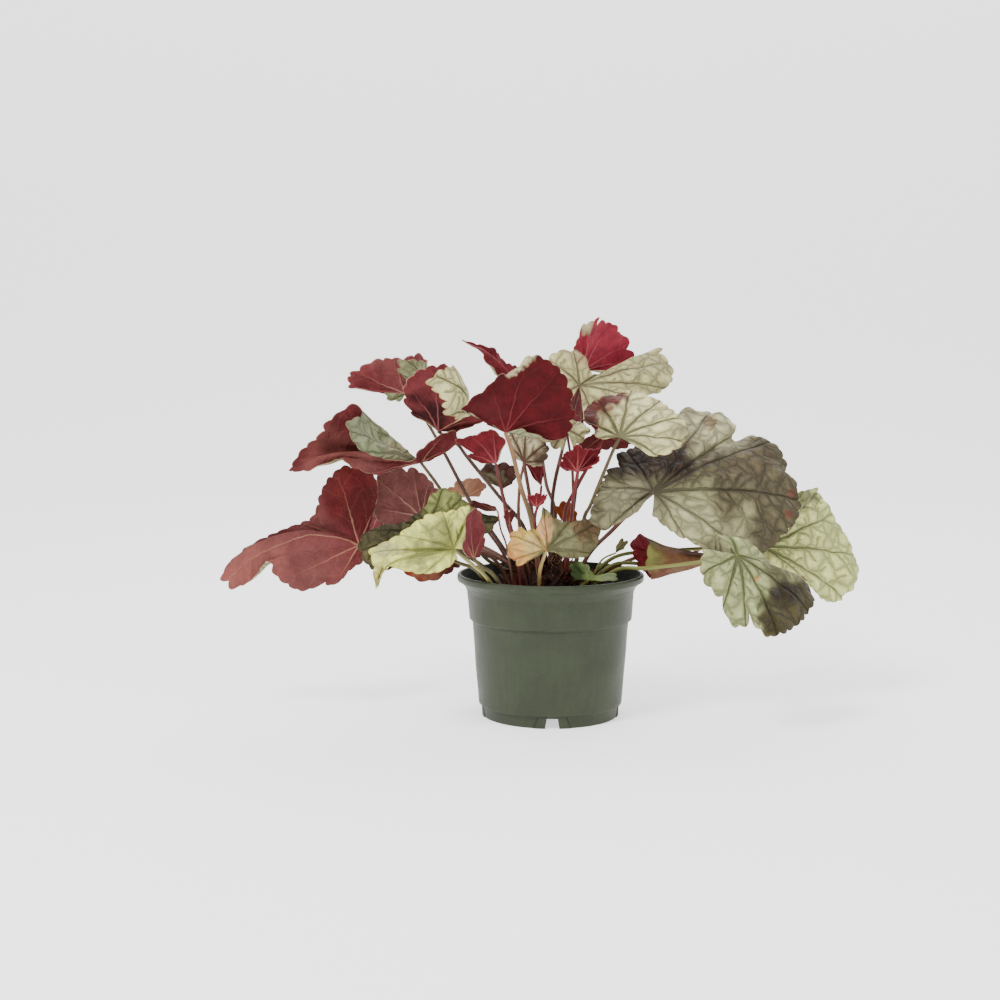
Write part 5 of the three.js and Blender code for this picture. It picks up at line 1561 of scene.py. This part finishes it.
def pebbles(centres, sizes, seed):
    """Small rough lumps, each a jittered low ball."""
    dice = np.random.default_rng(seed)
    g = (1 + 5**0.5) / 2
    base = unit(np.array([
        (-1, g, 0), (1, g, 0), (-1, -g, 0), (1, -g, 0), (0, -1, g), (0, 1, g),
        (0, -1, -g), (0, 1, -g), (g, 0, -1), (g, 0, 1), (-g, 0, -1), (-g, 0, 1),
    ], float))
    ball = np.array([
        (0, 11, 5), (0, 5, 1), (0, 1, 7), (0, 7, 10), (0, 10, 11), (1, 5, 9), (5, 11, 4), (11, 10, 2),
        (10, 7, 6), (7, 1, 8), (3, 9, 4), (3, 4, 2), (3, 2, 6), (3, 6, 8), (3, 8, 9), (4, 9, 5),
        (2, 4, 11), (6, 2, 10), (8, 6, 7), (9, 8, 1),
    ])
    points, faces = [], []
    for i, (centre, size) in enumerate(zip(centres, sizes)):
        shape = base * dice.uniform(0.6, 1.25, (12, 1)) * np.array([1, dice.uniform(0.5, 1), 0.6])
        turn = dice.uniform(0, 2 * math.pi)
        c, s = math.cos(turn), math.sin(turn)
        shape = shape @ np.array([[c, s, 0], [-s, c, 0], [0, 0, 1]])
        points.append(shape * size + centre)
        faces.append(ball + 12 * i)
    return np.vstack(points), np.vstack(faces)


def soil_mesh():
    """The soil's body, a rough top, and crumbs strewn over it."""
    top, rings, sides, edge = SOIL_TOP, SOIL["rings"], SOIL["sides"], SOIL["radius"]
    floor, rim = SOIL["floor"], SOIL["rim"]
    outline = [(0, floor), (43.2, floor), (44.3, 10), (48.3, 60), (50.3, 64), (51.7, 81), (edge, rim)]
    body, body_faces = turned(np.array(outline, float), 96, 8.0)
    turns = np.linspace(0, 2 * math.pi, sides, endpoint=False)
    radii = np.linspace(edge, 0.8, rings)
    x = (radii[:, None] * np.cos(turns)).ravel()
    y = (radii[:, None] * np.sin(turns)).ravel()
    z = top - 0.4 + 1.4 * waves(x, y, 17, 3) + 0.7 * waves(x, y, 5.5, 4) + 0.4 * waves(x, y, 2.2, 6)
    z = np.where(np.hypot(x, y) > 52, rim, z) - 1.2 * smooth(np.hypot(x, y), 48, edge)
    skin = np.vstack([np.stack([x, y, z], 1), [[0, 0, top]]])
    dice = np.random.default_rng(8)
    r = SOIL["crumb_reach"] * np.sqrt(dice.uniform(0.08, 1, SOIL["crumbs"]))
    a = dice.uniform(0, 2 * math.pi, SOIL["crumbs"])
    cx, cy = r * np.cos(a), r * np.sin(a)
    cz = top - 0.2 + 1.4 * waves(cx, cy, 17, 3) + 0.7 * waves(cx, cy, 5.5, 4)
    sizes = dice.gamma(3.0, 0.28, SOIL["crumbs"]) + 0.25
    lumps, lump_faces = pebbles(np.stack([cx, cy, cz], 1), sizes, 9)
    points = np.vstack([body, skin, lumps])
    all_faces = [body_faces, dome_faces(rings, sides) + len(body), lump_faces + len(body) + len(skin)]
    return dict(points=points, faces=np.vstack(all_faces))


def sheath(leaf, dice):
    """A papery scale round the foot of a petiole, kept inside the pot's wall."""
    x, y = leaf["foot"]
    foot = np.array([x, y, ground_height(x, y) - 1.5])
    ahead = unit(place((leaf["stalk"] or [leaf["hub"]])[0])[0] - foot)
    side = unit(np.cross(ahead, [0.3, 1.0, 0.2]))
    other = np.cross(ahead, side)
    tall, begin, spread = dice.uniform(8, 15), dice.uniform(0, 2 * math.pi), dice.uniform(1.0, 1.7)
    rows, columns = SCALE["rows"], SCALE["columns"]
    u, v = np.meshgrid(np.linspace(0, 1, rows), np.linspace(-1, 1, columns), indexing="ij")
    turn = begin + v * spread * (1 - u**1.6)
    away = 1.9 + 1.6 * u**2 + 0.25 * np.sin(5 * v + 3 * u)
    points = foot + (tall * (u - 0.1 * v * v))[..., None] * ahead
    points = points + away[..., None] * (np.cos(turn)[..., None] * side + np.sin(turn)[..., None] * other)
    points[..., :2] *= np.minimum(1, SCALE["reach"] / np.hypot(points[..., 0], points[..., 1]))[..., None]
    return points.reshape(-1, 3), grid_faces(rows, columns, closed=False)


def crown_spot(dice, reach, sunk):
    """A random place on the crown: the way out from its middle, and the point a little below its surface."""
    turn, away = dice.uniform(0, 2 * math.pi), dice.uniform(2, reach)
    out = np.array([math.cos(turn), math.sin(turn), 0])
    foot = np.array([CROWN["x"], CROWN["y"], 0]) + out * away
    foot[2] = ground_height(foot[0], foot[1]) - sunk
    return out, foot


def fibre(dice):
    """A dry thread, arching out of the crown."""
    out, foot = crown_spot(dice, 17, 1)
    along = unit(out * dice.uniform(0.2, 1.6) + np.array([0, 0, 1]) + dice.normal(0, 0.3, 3))
    length, drop = dice.uniform(7, 20), dice.uniform(0.1, 0.5)
    u = np.linspace(0, 1, 9)[:, None]
    wander = 0.6 * np.sin(u * dice.uniform(4, 9) + dice.uniform(0, 6, 3))
    centres = foot + along * length * u + wander - np.array([0, 0, 1]) * drop * length * u**2
    centres[:, 2] = np.maximum(centres[:, 2], SOIL_TOP - 0.5)
    return tube(centres, np.linspace(0.32, 0.12, 9), 5)


def crown_mesh():
    """The woody crown: a lobed dome, stubs of old petioles, papery scales and dry threads."""
    dice = np.random.default_rng(21)
    sides, rings = CROWN["sides"], CROWN["rings"]
    turns = np.linspace(0, 2 * math.pi, sides, endpoint=False)
    lifts = np.linspace(0, math.pi / 2 - 0.02, rings)
    lift, turn = np.meshgrid(lifts, turns, indexing="ij")
    r = CROWN["radius"] * np.cos(lift)
    bump = 1.1 * np.sin(9 * turn + 3 * lift) + 0.9 * np.sin(17 * turn - 6 * lift) * np.sin(11 * lift)
    r = r + bump * np.cos(lift)
    x, y = r * np.cos(turn), r * np.sin(turn)
    z = (CROWN["height"] - 0.5) * np.sin(lift) + 0.7 * waves(x, y, 4.0, 30) * np.sin(2 * lift)
    x, y, z = x.ravel() + CROWN["x"], y.ravel() + CROWN["y"], z.ravel() + SOIL_TOP + CROWN["lift"]
    shell = np.vstack([np.stack([x, y, z], 1), [[CROWN["x"], CROWN["y"], SOIL_TOP + CROWN["height"]]]])
    bits = [(shell, dome_faces(rings, sides), DOME_COLOUR)]
    for _ in range(CROWN["stubs"]):
        out, foot = crown_spot(dice, 19, 2)
        tilt = unit(out * dice.uniform(0.1, 0.9) + np.array([0, 0, 1]) + dice.normal(0, 0.2, 3))
        length, radius = dice.uniform(4, 10), dice.uniform(0.5, 1.2)
        u = np.linspace(0, 1, 7)[:, None]
        centres = foot + tilt * length * u + out * 1.5 * u**2
        radii = radius * (1.15 - 0.7 * u[:, 0]) * (1 + 0.12 * dice.normal(0, 1, 7))
        bits.append((*tube(centres, radii, 8), STUB_COLOURS[dice.integers(len(STUB_COLOURS))]))
    for leaf in LEAVES:
        for _ in range(CROWN["scales"]):
            bits.append((*sheath(leaf, dice), SCALE_COLOURS[dice.integers(len(SCALE_COLOURS))]))
    for _ in range(CROWN["threads"]):
        bits.append((*fibre(dice), THREAD_COLOURS[dice.integers(len(THREAD_COLOURS))]))
    points, all_faces, colours, count = [], [], [], 0
    for some, triangles, colour in bits:
        points.append(some)
        all_faces.append(triangles + count)
        colours.append(np.repeat(linear(colour)[None], len(some), 0))
        count += len(some)
    return dict(points=np.vstack(points), faces=np.vstack(all_faces), tissue=np.vstack(colours))


# ---- Light, floor and camera ----------------------------------------------------------------------------


def area_light(name, place_m, target, size, power):
    """A lamp at a place in metres, turned to its target."""
    lamp = bpy.data.lights.new(name, "AREA")
    lamp.shape = "RECTANGLE"
    lamp.size, lamp.size_y = size
    lamp.energy = power
    thing = bpy.data.objects.new(name, lamp)
    thing.location = place_m
    thing.rotation_euler = (Vector(target) - Vector(place_m)).to_track_quat("-Z", "Y").to_euler()
    bpy.context.collection.objects.link(thing)


def studio():
    """White surroundings, three lamps and a pale floor that bends up behind the plant. In metres."""
    world = bpy.data.worlds.new("studio")
    bpy.context.scene.world = world
    world.use_nodes = True
    world.node_tree.nodes["Background"].inputs[0].default_value = (1, 1, 1, 1)
    world.node_tree.nodes["Background"].inputs[1].default_value = 0.95
    middle = (0, 0, 0.14)
    area_light("key", (-0.6, -0.8, 1.3), middle, (0.45, 0.45), 21)
    area_light("fill", (1.1, -0.8, 0.7), middle, (0.8, 0.8), 4)
    area_light("back", (0.2, 0.9, 1.3), middle, (1.2, 0.8), 8)
    bend = [(1.4 + math.sin(a), 1 - math.cos(a)) for a in np.linspace(0, math.pi / 2, 25)]
    line = [(-0.75, 0.0), *bend, (2.4, 4.0)]
    corners = [(x, y, z) for y, z in line for x in (-4.0, 4.0)]
    quads = [(2 * i, 2 * i + 1, 2 * i + 3, 2 * i + 2) for i in range(len(line) - 1)]
    mesh = bpy.data.meshes.new("floor")
    mesh.from_pydata(corners, [], quads)
    mesh.shade_smooth()
    floor = bpy.data.objects.new("floor", mesh)
    bpy.context.collection.objects.link(floor)
    n = Nodes("floor_pale")
    n.shader.inputs["Base Color"].default_value = (0.93, 0.93, 0.93, 1)
    n.shader.inputs["Roughness"].default_value = 0.95
    n.shader.inputs["Specular IOR Level"].default_value = 0.0
    n.shader.inputs["Emission Color"].default_value = (1, 1, 1, 1)
    n.shader.inputs["Emission Strength"].default_value = 1.0
    floor.data.materials.append(n.material)


def set_camera():
    """The camera of the photo."""
    lens = bpy.data.cameras.new("camera")
    lens.lens = CAMERA_LENS
    lens.sensor_width = 36
    lens.clip_start = 0.05
    eye = bpy.data.objects.new("camera", lens)
    eye.location = Vector(EYE * MM)
    eye.rotation_euler = (math.radians(CAMERA_PITCH), 0, 0)
    bpy.context.collection.objects.link(eye)
    bpy.context.scene.camera = eye


# ---- The plant in its pot -------------------------------------------------------------------------------

set_camera()
studio()

leaf_materials = [leaf_material("leaf_upper", True), leaf_material("leaf_under", False), petiole_material()]

for number, leaf in enumerate(LEAVES):
    look = LOOKS[leaf["name"]]
    data = joined(blade_of(leaf, look, 100 + 7 * number), petiole_of(leaf, look, number))
    thing = mesh_object(leaf["name"] + "_look", data, leaf_materials)
    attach(thing, "root")
    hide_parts(leaf["name"])

pot = mesh_object("pot_look", pot_mesh(), [pot_material()])
cut_notches(pot)
soil = mesh_object("soil_look", soil_mesh(), [soil_material()])
crown = mesh_object("crown_look", crown_mesh(), [crown_material()])
dressed = ((pot, "pot", "pot_plastic"), (soil, "soil", "soil"), (crown, "crown", "crown_bark"))
for thing, node, slot in dressed:
    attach(thing, "root")
    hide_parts(node)
